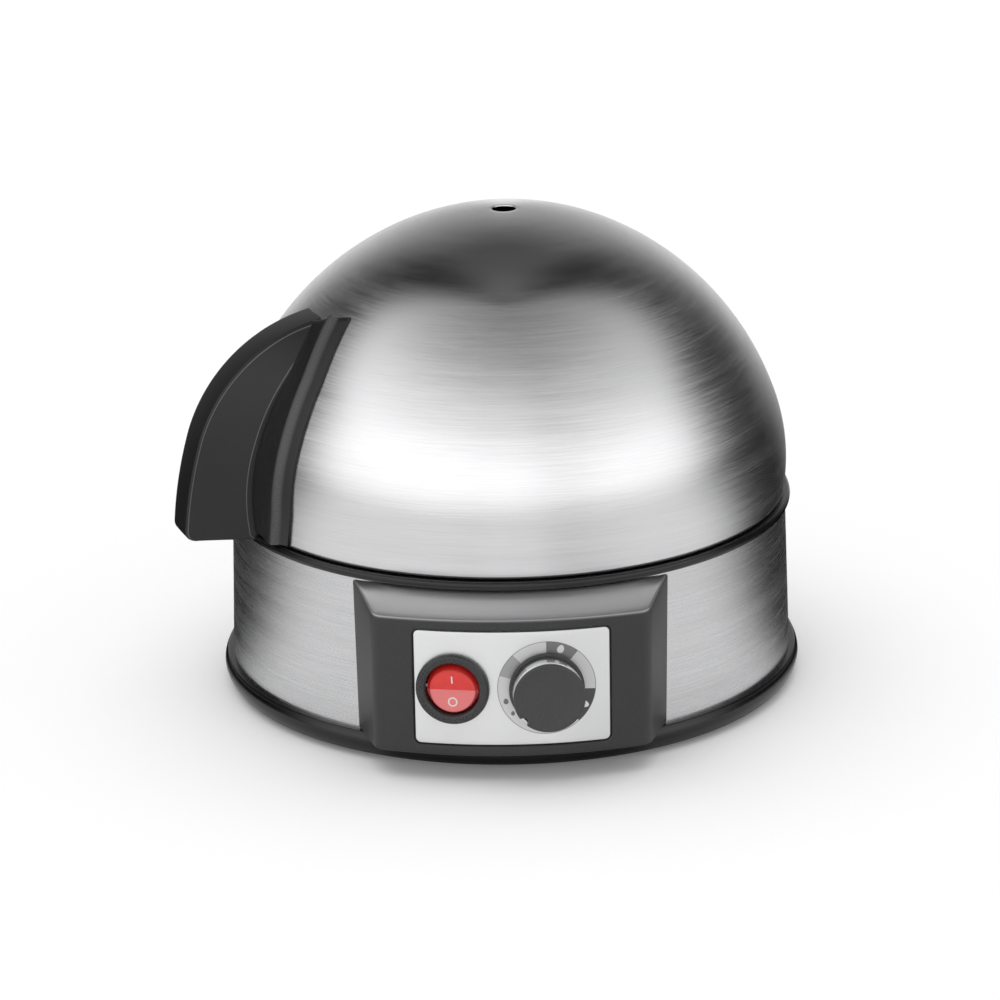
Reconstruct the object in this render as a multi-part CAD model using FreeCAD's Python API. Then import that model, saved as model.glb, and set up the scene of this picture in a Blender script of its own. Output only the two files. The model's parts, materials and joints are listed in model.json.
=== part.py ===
# Electric egg cooker: a steel dome lid with a side handle on a round body with a control panel.
# Millimetres, +Z up. The origin is on the floor, on the dome's axis, and the panel faces -Y.

import FreeCAD, Part
import math
import os

V = FreeCAD.Vector
ORIGIN = V(0, 0, 0)
UP = V(0, 0, 1)
FULL_TURN = 360.0
TOLERANCE = 1e-4
OVERRUN = 5.0          # how far a cutting tool runs past the wall that it cuts

# Fits between pieces
PIECE_GAP = 0.15       # between nested fixed pieces
RUN_GAP = 0.05         # radial clearance of a shaft or pin that turns
THREAD_GAP = 0.03      # radial clearance of a screw in its thread
HOLE_GAP = 0.3         # radial clearance of a screw in a through hole
REST_GAP = 0.3         # under a piece that only rests

# Steel band and the levels of the body
BODY_MARGIN = 12.0     # from the well for the pan out to the band's outer skin
BAND_TAPER = 1.5
BAND_WALL = 0.6
FOOT_H = 1.5
BASE_H = 7.3
BEAD_H = 2.7

# Base ring at the floor
BASE_FLARE = 2.9
BASE_FLOOR_FLARE = 1.2
BASE_TOP_FLARE = 1.4
BASE_LIP_T = 2.0
BASE_LIP_W = 3.4
BASE_SPIGOT_H = 3.2
BASE_SPIGOT_T = 2.0
BASE_BULGE_H = 3.1
BASE_EDGE_R = 0.8

# Base plate, feet and the four long screws
PLATE_MARGIN = 5.0
PLATE_T = 2.0
CHASSIS_COUNT = 4
CHASSIS_START = 45.0
BOSS_R = 5.4
BOSS_H = 4.0
CHASSIS_SCREW_R = 1.6
CHASSIS_HEAD_R = 3.2
CHASSIS_HEAD_H = 2.0
CHASSIS_HEAD_SINK = 1.6
CHASSIS_SCREW_BITE = 12.0
FOOT_COUNT = 4
FOOT_START = 22.5
FOOT_INSET = 17.0
FOOT_R = 7.0
FOOT_STEM_R = 3.0
FOOT_BARB_R = 4.2
FOOT_BARB_H = 1.6
FOOT_ROUND = 0.5
VENT_COUNT = 16
VENT_IN_R = 26.0
VENT_MARGIN = 13.0
VENT_W = 3.0

# Collar ring that carries the lid and the pan
COLLAR_BULGE = 1.6
COLLAR_OVERHANG = 0.5
COLLAR_SPIGOT_H = 4.7
COLLAR_SPIGOT_T = 2.1
LEDGE_T = 2.0
UPSTAND_H = 3.6
UPSTAND_T = 2.4
LID_SIDE_GAP = 0.7
SHELF_DROP = 7.4
SHELF_T = 2.0
SHELF_LAP = 8.0        # how far the shelf reaches under the pan's flange
WELL_WALL = 2.4
POST_R = 4.0

# Dome lid: three tangent arcs from the edge to the vent
LID_INSET = 1.2
LID_WALL = 0.6
LID_SKIRT = 10.4
DOME_LOW_R = 61.0
DOME_LOW_END = 19.0
DOME_MID_R = 96.0
DOME_MID_END = 63.0
VENT_HOLE_R = 4.1
HEM_H = 4.0

# Handle: a fin on a saddle that follows the dome
HANDLE_AZIMUTH = 200.0
FIN_REACH = 21.2
FIN_HALF_T = 6.5
FIN_ROOT_HALF_T = 13.0
FIN_ROOT_OFF = 2.5
FIN_LOW = 1.9          # how far the fin hangs below the lid's edge
FIN_H = 70.0
FIN_SINK = 12.0
FIN_CORNER = 3.0
FIN_OUTLINE_shares = ((0.5616, 1.0), (0.79, 0.8295), (0.9366, 0.503), (0.9786, 0.281), (1.0, 0.05))
FIN_ROOT_shares = (0.95, 0.80, 0.503, 0.281, 0.05)
SADDLE_HALF_ANGLE = 21.5
SADDLE_TOP_ANGLE = 45.6
SADDLE_FAR_TOP_ANGLE = 31.0     # its other half, behind the fin, ends lower
SADDLE_T = 3.6
SADDLE_SINK = 2.0
SADDLE_ROUND = 2.4
COLLAR_CLEARANCE = 0.9
HANDLE_SCREW_shares = (0.30, 0.62)     # heights of its two screws on the fin
HANDLE_SCREW_R = 1.75
HANDLE_SCREW_BITE = 9.0
HANDLE_HEAD_R = 3.4
HANDLE_HEAD_H = 2.2
WASHER_R = 5.0
WASHER_T = 0.8
WASHER_SEAT = 0.25     # a flat washer in the curved shell touches at its rim

# Heating pan and its seal
PAN_WALL = 0.8
PAN_FLANGE_W = 11.0
PAN_SIDE_GAP = 2.0
PAN_DEPTH = 12.0
PAN_CORNER_R = 6.0
SEAL_T = 1.2
SEAL_INSET = 1.0

# Egg tray
TRAY_INSET = 4.0       # from the skirt out to the edge of the pan's flange
TRAY_T = 2.0
TRAY_H = 9.0
SKIRT_T = 2.0
EGG_HOLE_R = 17.5
EGG_LIP_T = 1.5
EGG_LIP_H = 2.5
EGG_LAND = 9.5         # between the middle egg place and those round it
EGG_MARGIN = 12.0      # from an egg place to the tray's edge
EGG_RING_COUNT = 6
EGG_START = 30.0
GRIP_INSET = 7.0
GRIP_W = 22.0
GRIP_T = 2.6
GRIP_H = 15.0
GRIP_BAR_R = 2.4

# Clamp under the pan: studs, washers, nuts and heat shield
STUD_INSET = 11.0
STUD_COUNT = 3
STUD_START = 90.0
STUD_R = 2.0
STUD_TAIL = 1.2
NUT_AF = 7.0
NUT_H = 3.2
STUD_WASHER_R = 4.5
STUD_WASHER_T = 0.8
SHIELD_WALL = 0.8
SHIELD_SIDE_GAP = 0.5
SHIELD_DRAFT = 4.4
SHIELD_DEPTH = 18.8
SHIELD_HOLE_R = 17.0

# Tubular heater under the pan
HEATER_INSET = 14.0    # from the studs in to the heater's ring
HEATER_TUBE_R = 3.25
HEATER_FLAT = 0.35
HEATER_GAP_ANGLE = 20.0
HEATER_BEND_R = 8.0
HEATER_LEG_H = 6.0
HEATER_PIN_R = 1.2
HEATER_PIN_H = 7.0
LEG_HOLE_GAP = 1.5

# Thermostat with its strap, and thermal fuse with its clip
THERMOSTAT_CAP_R = 8.0
THERMOSTAT_CAP_H = 2.4
THERMOSTAT_BODY_R = 6.8
THERMOSTAT_BODY_H = 6.0
THERMOSTAT_BLADE_H = 7.0
THERMOSTAT_BLADE_OFF = 3.6
BLADE_W = 4.8
BLADE_T = 0.8
STRAP_T = 0.8
STRAP_W = 9.0
STRAP_HALF = 15.5
STRAP_STUD_X = 12.0
SMALL_STUD_R = 1.5
SMALL_STUD_TAIL = 0.9
SMALL_NUT_AF = 5.5
SMALL_NUT_H = 2.2
FUSE_R = 2.2
FUSE_LENGTH = 15.0
CLIP_T = 0.6
CLIP_W = 6.0
CLIP_FOOT = 3.5

# Control housing that stands out of the band
PANEL_REACH = 12.0
PANEL_FACE_R = 120.0
PANEL_DRAFT = 5.7      # how much wider each side is at the band than at the face
PANEL_WALL = 2.6
PANEL_CORNER_R = 5.0
BEVEL_LOW = 1.2        # how far the top lies under the band's edge, at the band
BEVEL_DROP = 4.0       # how far the top falls from the band to the face
PANEL_BACK = 12.0
PANEL_POST_R = 3.2
PANEL_SCREW_INSET = 10.9
PANEL_POST_REACH = 11.0
PANEL_SCREW_MARGIN = 3.9
PANEL_SCREW_R = 1.5
PANEL_SCREW_BITE = 7.0
PANEL_HEAD_R = 2.7
PANEL_HEAD_H = 1.8
PANEL_HEAD_SEAT = 0.12

# Backing frame behind the band, and the band's window
FRAME_T = 1.2
FRAME_INSET = 3.7
FRAME_EDGE_GAP = 0.4
WINDOW_INSET = 16.1
WINDOW_MARGIN = 8.0

# Silver plate let into the housing
INLAY_SIDE = 12.5      # from its side to the housing's front corner
INLAY_LOW = 3.9        # its lower edge above the band's lower edge
INLAY_TOP = 9.0        # its upper edge below the band's upper edge
INLAY_LEFT = 0.35      # from its side to the switch
INLAY_RIGHT = 8.2      # from the knob to its other side
DIAL_W = 7.2           # from the knob up or down to its edge
CONTROL_GAP = 6.15     # between switch and knob
INLAY_T = 0.8
INLAY_RECESS = 1.0
INLAY_CORNER_R = 1.6
INLAY_GROOVE = 0.5

# Rocker switch, in its own frame: X right, Y up, Z out of the panel
BEZEL_R = 11.45
BEZEL_H = 2.0
BEZEL_SKIRT = 1.0
BEZEL_EDGE_W = 0.75
BEZEL_FLAT_W = 1.6
BEZEL_LIP_W = 0.6
BEZEL_EDGE_H = 0.9
BEZEL_LIP_DROP = 0.5
BEZEL_LAP = 1.55       # how far the bezel laps over the hole in the plate
SWITCH_BLOCK_H = 7.5   # solid part behind the rocker's room
SWITCH_HOLE_GAP = 0.15
SWITCH_BLADE_L = 7.5
SWITCH_BLADE_PITCH = 6.0
SWITCH_BLADE_COUNT = 3
ROCKER_GAP = 0.2
ROCKER_SIDE = 1.0
ROCKER_ROOM = 2.0
ROCKER_PIVOT_DEPTH = 2.2
ROCKER_VEE = 10.0
ROCKER_TILT = 7.0
ROCKER_BELOW = 4.8
ROCKER_PIN_R = 1.0
ROCKER_PIN_SEAT = 0.9

# Knob and regulator, in the same kind of frame
KNOB_LIFT = 0.5
KNOB_FLANGE_R = 11.3
KNOB_FLANGE_H = 0.8
KNOB_FLANGE_W = 1.05
KNOB_H = 9.0
KNOB_FACE_T = 2.0
KNOB_EDGE = 0.4
KNOB_WALL = 1.05
KNOB_HUB_R = 4.6
KNOB_HUB_LIFT = 3.2
KNOB_SLEEVE_T = 0.65
KNOB_SLEEVE_END = 1.2  # how far the sleeve stops short of the knob's face
KNOB_NOTCH_R = 1.5
KNOB_NOTCH_IN = 0.7
KNOB_POINTER = 228.0
SHAFT_R = 3.0
SHAFT_FLAT = 0.6
SHAFT_END_GAP = 0.4
SHAFT_INNER = 10.0
REGULATOR_W = 25.0
REGULATOR_H = 26.0
REGULATOR_D = 15.0
BUSHING_R = 4.9
BUSHING_PROUD = 2.4
BUSHING_ROOT = 4.0
REGULATOR_NUT_AF = 12.0
REGULATOR_NUT_H = 1.9
REGULATOR_NUT_SEAT = 0.05
REGULATOR_BLADE_L = 7.5
REGULATOR_BLADE_X = 7.0

# Mains connection at the back
BUSH_Z = 24.0
BUSH_FLANGE_R = 9.0
BUSH_FLANGE_T = 2.4
BUSH_NECK_R = 6.2
BUSH_LUG_R = 7.4
BUSH_LUG_T = 2.2
BUSH_INNER_L = 9.0
BUSH_OUTER_L = 9.0
BUSH_TIP_R = 5.2
CORD_BORE_R = 3.6
BLOCK_INSET = 35.0     # from the base plate's edge in to the block's middle
BLOCK_L = 40.0
BLOCK_W = 13.0
BLOCK_H = 11.0
BLOCK_POLES = 4
BLOCK_POLE_PITCH = 7.0
BLOCK_WAY_R = 2.2
SLEEVE_BORE_R = 1.25
BLOCK_SCREW_R = 1.4
BLOCK_HEAD_R = 2.6
BLOCK_HEAD_H = 1.6

# Leads inside the body. A route is in shares of the band's radius, and its height in shares of the shield's.
LEAD_R = 1.1
LEAD_EXIT = 9.0
LEAD_BITE = 4.0
LEAD_TRIM_share = 0.45
FUSE_HOLE_Y = 24.0
FUSE_HOLE_R = 2.4
LIVE_shares = ((-0.20, 0.16, 0.28), (-0.34, -0.06, 0.30), (-0.38, -0.28, 0.36), (-0.32, -0.48, 0.55))
SWITCHED_shares = ((-0.185, -0.674, 0.895), (-0.065, -0.587, 0.864), (0.054, -0.674, 0.895))
LAMP_shares = ((-0.07, 0.18, 0.26), (-0.14, -0.02, 0.30), (-0.20, -0.24, 0.34), (-0.16, -0.46, 0.50),
               (-0.076, -0.674, 0.65))
THERMOSTAT_shares = ((0.20, -0.56, 0.72), (0.17, -0.38, 0.52), (0.10, -0.22, 0.40), (0.02, -0.10, 0.42))
FUSE_shares = ((0.0, 0.13, 0.44), (-0.10, 0.22, 0.38), (-0.22, 0.27, 0.42))
HEATER_shares = ((-0.22, -0.34, 0.62), (-0.04, -0.38, 0.37), (0.16, -0.30, 0.23), (0.34, -0.18, 0.17))
NEUTRAL_shares = ((0.40, 0.12, 0.20), (0.26, 0.15, 0.22), (0.10, 0.24, 0.28))
EARTH_shares = ((0.22, 0.30, 0.25), (0.41, 0.26, 0.25), (0.59, 0.11, 0.28), (0.60, -0.17, 0.37))

# Widths worked out from the sizes above: the egg places set the tray, the tray the pan, the pan the body
EGG_PITCH_R = 2 * EGG_HOLE_R + EGG_LAND
TRAY_R = EGG_PITCH_R + EGG_HOLE_R + EGG_MARGIN
GRIP_R = TRAY_R - GRIP_INSET
PAN_FLANGE_R = TRAY_R + TRAY_INSET
PAN_R = PAN_FLANGE_R - PAN_FLANGE_W
SHELF_IN_R = PAN_FLANGE_R - SHELF_LAP
SEAL_IN_R = SHELF_IN_R + SEAL_INSET
SEAL_OUT_R = PAN_FLANGE_R - SEAL_INSET
WELL_R = PAN_FLANGE_R + PAN_SIDE_GAP
CHASSIS_R = WELL_R
BODY_R = WELL_R + BODY_MARGIN
DOME_R = BODY_R - LID_INSET
FIN_R = DOME_R + FIN_REACH
PLATE_R = BODY_R - PLATE_MARGIN
FOOT_RING_R = PLATE_R - FOOT_INSET
VENT_LENGTH = FOOT_RING_R - FOOT_R - VENT_MARGIN - VENT_IN_R
BLOCK_Y = PLATE_R - BLOCK_INSET
SHIELD_FLANGE_R = CHASSIS_R - POST_R - SHIELD_SIDE_GAP
SHIELD_RIM_R = SHELF_IN_R
SHIELD_FLOOR_R = SHIELD_RIM_R - SHIELD_DRAFT
STUD_RING_R = PAN_R - STUD_INSET
HEATER_RING_R = STUD_RING_R - HEATER_INSET
FUSE_X = -(STRAP_HALF + HEATER_RING_R - HEATER_TUBE_R) / 2

# Panel worked out from its two controls, from the left to the right
KNOB_CORE_R = KNOB_FLANGE_R - KNOB_FLANGE_W
KNOB_SLEEVE_R = KNOB_CORE_R + KNOB_SLEEVE_T
KNOB_HOLLOW_R = KNOB_CORE_R - KNOB_WALL
INLAY_HALF_W = (INLAY_LEFT + 2 * BEZEL_R + CONTROL_GAP + 2 * KNOB_FLANGE_R + INLAY_RIGHT) / 2
INLAY_H = 2 * (KNOB_FLANGE_R + DIAL_W)
SWITCH_X = INLAY_LEFT + BEZEL_R - INLAY_HALF_W
KNOB_X = SWITCH_X + BEZEL_R + CONTROL_GAP + KNOB_FLANGE_R
PANEL_FRONT_HALF_W = INLAY_HALF_W + INLAY_SIDE
PANEL_HALF_W = PANEL_FRONT_HALF_W + PANEL_DRAFT
PANEL_FACE_Y = BODY_R + PANEL_REACH
FACE_CENTRE_Y = PANEL_FACE_R - PANEL_FACE_Y
BEZEL_FLAT_OUT_R = BEZEL_R - BEZEL_EDGE_W
BEZEL_FLAT_IN_R = BEZEL_FLAT_OUT_R - BEZEL_FLAT_W
ROCKER_OPENING_R = BEZEL_FLAT_IN_R - BEZEL_LIP_W
ROCKER_BALL_R = ROCKER_OPENING_R - ROCKER_GAP
ROCKER_FACE_R = ROCKER_BALL_R - ROCKER_SIDE
SWITCH_BODY_R = BEZEL_R - BEZEL_LAP
SWITCH_CAVITY_DEPTH = ROCKER_PIVOT_DEPTH + ROCKER_BELOW + ROCKER_ROOM
SWITCH_BODY_DEPTH = SWITCH_CAVITY_DEPTH + SWITCH_BLOCK_H

# Levels worked out from the sizes above
BAND_H = INLAY_LOW + INLAY_H + INLAY_TOP
BAND_LOW = FOOT_H + BASE_H
BAND_TOP = BAND_LOW + BAND_H
LEDGE_Z = BAND_TOP + BEAD_H
LID_Z = LEDGE_Z + REST_GAP
DOME_Z = LID_Z + LID_SKIRT
SHELF_TOP = LEDGE_Z - SHELF_DROP
SHELF_LOW = SHELF_TOP - SHELF_T
PAN_RIM_LOW = SHELF_TOP + SEAL_T
PAN_RIM_TOP = PAN_RIM_LOW + PAN_WALL
PAN_FLOOR = PAN_RIM_TOP - PAN_DEPTH
PAN_UNDER = PAN_FLOOR - PAN_WALL
PLATE_TOP = FOOT_H + PLATE_T
BOSS_TOP = PLATE_TOP + BOSS_H
SHIELD_LOW = SHELF_LOW - SHIELD_WALL - SHIELD_DEPTH
PANEL_LOW = BAND_LOW
INLAY_Z = BAND_LOW + INLAY_LOW
CONTROL_Z = INLAY_Z + INLAY_H / 2
WINDOW_LOW = BAND_LOW + WINDOW_MARGIN
WINDOW_TOP = BAND_TOP - WINDOW_MARGIN
FRAME_LOW = BAND_LOW + BASE_SPIGOT_H + FRAME_EDGE_GAP
FRAME_TOP = BAND_TOP - COLLAR_SPIGOT_H - FRAME_EDGE_GAP
FIN_Z = LID_Z - FIN_LOW


# Helpers


def section(a, b):
    """Point of the half plane through the axis: a is the radius, b the height."""
    return V(a, 0, b)


def level(z):
    """Places plan points at height z."""
    return lambda a, b: V(a, b, z)


def upright(y):
    """Places points of a plane that faces Y, at depth y."""
    return lambda a, b: V(a, y, b)


def wire(start, steps, place=section):
    """Closed wire. A step is the end of a line, or the middle and the end of an arc."""
    edges = []
    here = place(*start)
    for step in list(steps) + [start]:
        if isinstance(step[0], tuple):
            there = place(*step[1])
            edges.append(Part.Arc(here, place(*step[0]), there).toShape())
        else:
            there = place(*step)
            if not there.isEqual(here, TOLERANCE):
                edges.append(Part.makeLine(here, there))
        here = there
    return Part.Wire(edges)


def spin(start, steps, sweep=FULL_TURN, begin=0):
    """Solid of revolution about the axis, from azimuth begin."""
    solid = Part.Face(wire(start, steps)).revolve(ORIGIN, UP, sweep)
    solid.rotate(ORIGIN, UP, begin)
    return solid


def rod(radius, low, high, at=ORIGIN):
    """Upright cylinder between two heights."""
    return Part.makeCylinder(radius, high - low, at + V(0, 0, low))


def tube(outer, inner, low, high, at=ORIGIN):
    return rod(outer, low, high, at).cut(rod(inner, low - OVERRUN, high + OVERRUN, at))


def block(x0, x1, y0, y1, z0, z1):
    return Part.makeBox(x1 - x0, y1 - y0, z1 - z0, V(x0, y0, z0))


def hex_prism(across_flats, low, high):
    """Hexagonal prism on the Z axis."""
    corner = across_flats / (2 * math.cos(math.pi / 6))
    points = [(corner * math.cos(k * math.pi / 3), corner * math.sin(k * math.pi / 3)) for k in range(6)]
    face = Part.Face(wire(points[0], points[1:], level(low)))
    return face.extrude(V(0, 0, high - low))


def polar(radius, azimuth, z=0):
    turn = math.radians(azimuth)
    return V(radius * math.cos(turn), radius * math.sin(turn), z)


def around(count, start):
    """Azimuths of copies that are spread evenly."""
    return [start + FULL_TURN * k / count for k in range(count)]


def turned(shape, azimuth):
    copy = shape.copy()
    copy.rotate(ORIGIN, UP, azimuth)
    return copy


def moved(shape, by):
    copy = shape.copy()
    copy.translate(by)
    return copy


def seated(shape, origin, outward, up=UP):
    """Moves a shape so that its Z axis points outward from origin and its Y axis points up."""
    copy = shape.copy()
    spot = FreeCAD.Placement(origin, FreeCAD.Rotation(up.cross(outward), up, outward, "ZYX"))
    copy.Placement = spot.multiply(copy.Placement)
    return copy


def joined(*shapes):
    return shapes[0].multiFuse(list(shapes[1:])).removeSplitter()


def group(shapes):
    """Separate solids that share one node."""
    return Part.makeCompound([solid for shape in shapes for solid in shape.Solids])


# Lines of the band and the dome


def band_r(z):
    """Outer radius of the tapered band at a height."""
    return BODY_R - BAND_TAPER * (z - BAND_LOW) / BAND_H


def band_skin(z, inset):
    return (band_r(z) - inset, z)


LOW_CENTRE = (DOME_R - DOME_LOW_R, DOME_Z)
LOW_END = math.radians(DOME_LOW_END)
MID_END = math.radians(DOME_MID_END)
MID_CENTRE = (
    LOW_CENTRE[0] + (DOME_LOW_R - DOME_MID_R) * math.cos(LOW_END),
    LOW_CENTRE[1] + (DOME_LOW_R - DOME_MID_R) * math.sin(LOW_END),
)
CAP_R = DOME_MID_R + MID_CENTRE[0] / math.cos(MID_END)
CAP_CENTRE = (0, MID_CENTRE[1] + (DOME_MID_R - CAP_R) * math.sin(MID_END))
VENT_ANGLE = math.acos(VENT_HOLE_R / CAP_R)


def dome_point(angle, off=0):
    """Point of the dome's outer line, moved outward by off, where the normal rises by angle."""
    if angle <= LOW_END:
        centre, radius = LOW_CENTRE, DOME_LOW_R
    elif angle <= MID_END:
        centre, radius = MID_CENTRE, DOME_MID_R
    else:
        centre, radius = CAP_CENTRE, CAP_R
    return (centre[0] + (radius + off) * math.cos(angle), centre[1] + (radius + off) * math.sin(angle))


def dome_angle(z, off=0):
    """Angle of the outer line, moved outward by off, at a height below the cap."""
    if z <= dome_point(LOW_END, off)[1]:
        return math.asin((z - LOW_CENTRE[1]) / (DOME_LOW_R + off))
    return math.asin((z - MID_CENTRE[1]) / (DOME_MID_R + off))


def dome_r(z, off=0):
    return dome_point(dome_angle(z, off), off)[0]


def dome_arcs(first, last, off=0):
    """Arc steps along the dome's line from one angle to another."""
    knots = [knot for knot in (LOW_END, MID_END) if min(first, last) < knot < max(first, last)]
    stops = sorted(knots, reverse=last < first) + [last]
    steps = []
    here = first
    for stop in stops:
        steps.append((dome_point((here + stop) / 2, off), dome_point(stop, off)))
        here = stop
    return steps


LID_EDGE_ANGLE = dome_angle(LID_Z + LID_WALL)


def dome_solid(off=0):
    """The dome as a solid out to its outer line, closed at the level of the lid's edge."""
    low = dome_angle(LID_Z, off)
    return spin(dome_point(low, off), dome_arcs(low, math.pi / 2, off) + [(0, LID_Z)])


# Lid


def lid_dome():
    """Steel shell with a hemmed edge and a vent hole in the top."""
    hem_angle = dome_angle(LID_Z + HEM_H)
    inner = -LID_WALL
    hem = -2 * LID_WALL
    edge_middle = dome_point(LID_EDGE_ANGLE, inner)
    steps = dome_arcs(LID_EDGE_ANGLE, VENT_ANGLE)
    steps.append(dome_point(VENT_ANGLE, inner))
    steps += dome_arcs(VENT_ANGLE, hem_angle, inner)
    steps.append(dome_point(hem_angle, hem))
    steps += dome_arcs(hem_angle, LID_EDGE_ANGLE, hem)
    round_edge = (edge_middle[0], edge_middle[1] - LID_WALL)
    steps.append((round_edge, dome_point(LID_EDGE_ANGLE)))
    shell = spin(dome_point(LID_EDGE_ANGLE), steps)
    return shell.cut([handle_screw_hole(angle) for angle in handle_screw_angles()])


def handle_screw_angles():
    """How far the dome's normal rises at each of the two handle screws."""
    return [dome_angle(FIN_Z + share * FIN_H) for share in HANDLE_SCREW_shares]


def handle_screw_spot(angle):
    """Point on the dome's inner skin and the outward direction of a handle screw."""
    radius, z = dome_point(angle, -LID_WALL)
    outward = polar(math.cos(angle), HANDLE_AZIMUTH, math.sin(angle))
    return polar(radius, HANDLE_AZIMUTH, z), outward


def on_screw_spot(shape, angle):
    spot, outward = handle_screw_spot(angle)
    side = UP.cross(outward).normalize()
    return seated(shape, spot, outward, outward.cross(side))


def handle_screw_hole(angle):
    return on_screw_spot(rod(HANDLE_SCREW_R + HOLE_GAP, -OVERRUN, OVERRUN), angle)


def fin_steps(u_line, top, foot_u):
    """Steps of a fin outline from its top along the outer line, round the foot and back inside."""
    foot = (foot_u - FIN_CORNER, FIN_Z)
    cut_in = FIN_CORNER * (1 - math.sqrt(0.5))
    corner = (foot_u - cut_in, FIN_Z + cut_in)
    inner_foot = (dome_r(LID_Z) - FIN_SINK, FIN_Z)
    inner_top = (top[0] - FIN_SINK, top[1])
    return [(u_line[0], u_line[1]), (u_line[2], u_line[3]), (corner, foot), inner_foot, inner_top]


def fin_outer_wire(w):
    points = [(u * FIN_R, FIN_Z + s * FIN_H) for u, s in FIN_OUTLINE_shares]
    return wire(points[0], fin_steps(points[1:], points[0], FIN_R), lambda a, b: V(a, w, b))


def fin_root_wire(w):
    heights = [FIN_Z + s * FIN_H for s in FIN_ROOT_shares]
    points = [(dome_r(z, FIN_ROOT_OFF), z) for z in heights]
    return wire(points[0], fin_steps(points[1:], points[0], points[-1][0]), lambda a, b: V(a, w, b))


def saddle_strip(first, last, top_angle):
    """Strip on the dome between two azimuths, with rounded outer edges, up to a normal's angle."""
    low = dome_angle(LID_Z, SADDLE_T)
    top = math.radians(top_angle)
    steps = dome_arcs(low, top, SADDLE_T)
    steps.append(dome_point(top, -SADDLE_SINK))
    steps += dome_arcs(top, low, -SADDLE_SINK)
    strip = spin(dome_point(low, SADDLE_T), steps, last - first, first)
    return strip.makeFillet(SADDLE_ROUND, [edge for edge in strip.Edges if saddle_rim(edge, top)])


def saddle():
    """Saddle on both sides of the fin, before its underside is cut to the dome."""
    near = saddle_strip(0, SADDLE_HALF_ANGLE, SADDLE_TOP_ANGLE)
    far = saddle_strip(-SADDLE_HALF_ANGLE, 0, SADDLE_FAR_TOP_ANGLE)
    return joined(near, far)


def saddle_rim(edge, top):
    """True for the strip's outer edges along its two sides and across its top."""
    middle = edge.valueAt((edge.FirstParameter + edge.LastParameter) / 2)
    radius = math.hypot(middle.x, middle.y)
    side = abs(math.degrees(math.atan2(middle.y, middle.x)))
    top_r, top_z = dome_point(top, SADDLE_T)
    across = abs(radius - top_r) < TOLERANCE and abs(middle.z - top_z) < TOLERANCE
    outside = middle.z < top_z and abs(radius - dome_r(middle.z, SADDLE_T)) < TOLERANCE
    return across or (outside and abs(side - SADDLE_HALF_ANGLE) < TOLERANCE)


def lid_handle():
    """Moulded handle: a fin that thickens to its root, on a saddle, cut to the dome behind it."""
    slab = Part.Face(fin_outer_wire(-FIN_HALF_T)).extrude(V(0, 2 * FIN_HALF_T, 0))
    pieces = [slab, saddle()]
    for side in (-1, 1):
        wires = [fin_outer_wire(side * FIN_HALF_T), fin_root_wire(side * FIN_ROOT_HALF_T)]
        pieces.append(Part.makeLoft(wires, True, True))
    body = joined(*pieces)
    collar_room = rod(BODY_R + COLLAR_CLEARANCE, FIN_Z - OVERRUN, LID_Z + REST_GAP)
    body = turned(body.cut([dome_solid(), collar_room]), HANDLE_AZIMUTH)
    bores = []
    for angle in handle_screw_angles():
        bore = rod(HANDLE_SCREW_R + THREAD_GAP, -OVERRUN, HANDLE_SCREW_BITE + REST_GAP)
        bores.append(on_screw_spot(bore, angle))
    return body.cut(bores)


def screw(shank_r, shank_l, head_r, head_h):
    """Screw along Z: its head lies below zero, its shank above."""
    head = rod(head_r, -head_h, 0)
    rim = [edge for edge in head.Edges if abs(edge.CenterOfMass.z + head_h) < TOLERANCE]
    head = head.makeChamfer(head_h / 3, rim)
    return joined(head, rod(shank_r, 0, shank_l))


def handle_screws():
    below = WASHER_T + WASHER_SEAT
    one = screw(HANDLE_SCREW_R, HANDLE_SCREW_BITE + below, HANDLE_HEAD_R, HANDLE_HEAD_H)
    one = moved(one, V(0, 0, -below))
    return group([on_screw_spot(one, angle) for angle in handle_screw_angles()])


def handle_washers():
    low = -WASHER_T - WASHER_SEAT
    one = tube(WASHER_R, HANDLE_SCREW_R + THREAD_GAP, low, -WASHER_SEAT)
    return group([on_screw_spot(one, angle) for angle in handle_screw_angles()])


# Body


def collar_ring():
    """Ring on the band: bead, ledge and upstand for the lid, shelf for the pan, four posts."""
    spigot_low = BAND_TOP - COLLAR_SPIGOT_H
    inset = BAND_WALL + PIECE_GAP
    spigot_foot = band_skin(spigot_low, inset)
    spigot_head = band_skin(BAND_TOP, inset)
    inner_spigot_r = spigot_foot[0] - COLLAR_SPIGOT_T
    upstand_r = dome_r(LID_Z) - 2 * LID_WALL - LID_SIDE_GAP
    bead_r = band_r(BAND_TOP) + COLLAR_OVERHANG
    ledge_under = LEDGE_Z - LEDGE_T
    steps = [
        (SHELF_IN_R, SHELF_TOP),
        (WELL_R, SHELF_TOP),
        (upstand_r - UPSTAND_T, LEDGE_Z + UPSTAND_H),
        (upstand_r, LEDGE_Z + UPSTAND_H),
        (upstand_r, LEDGE_Z),
        (bead_r, LEDGE_Z),
        ((band_r(BAND_TOP) + COLLAR_BULGE, (LEDGE_Z + BAND_TOP) / 2), (bead_r, BAND_TOP)),
        spigot_head,
        spigot_foot,
        (inner_spigot_r, spigot_low),
        (inner_spigot_r, ledge_under),
        (WELL_R + WELL_WALL, ledge_under - BEAD_H),
        (WELL_R + WELL_WALL, SHELF_LOW),
    ]
    ring = spin((SHELF_IN_R, SHELF_LOW), steps)
    ring = joined(ring, *[rod(POST_R, BOSS_TOP, SHELF_LOW, spot) for spot in chassis_spots()])
    bore_top = BOSS_TOP + CHASSIS_SCREW_BITE + REST_GAP
    bore_r = CHASSIS_SCREW_R + THREAD_GAP
    return ring.cut([rod(bore_r, BOSS_TOP - OVERRUN, bore_top, spot) for spot in chassis_spots()])


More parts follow.
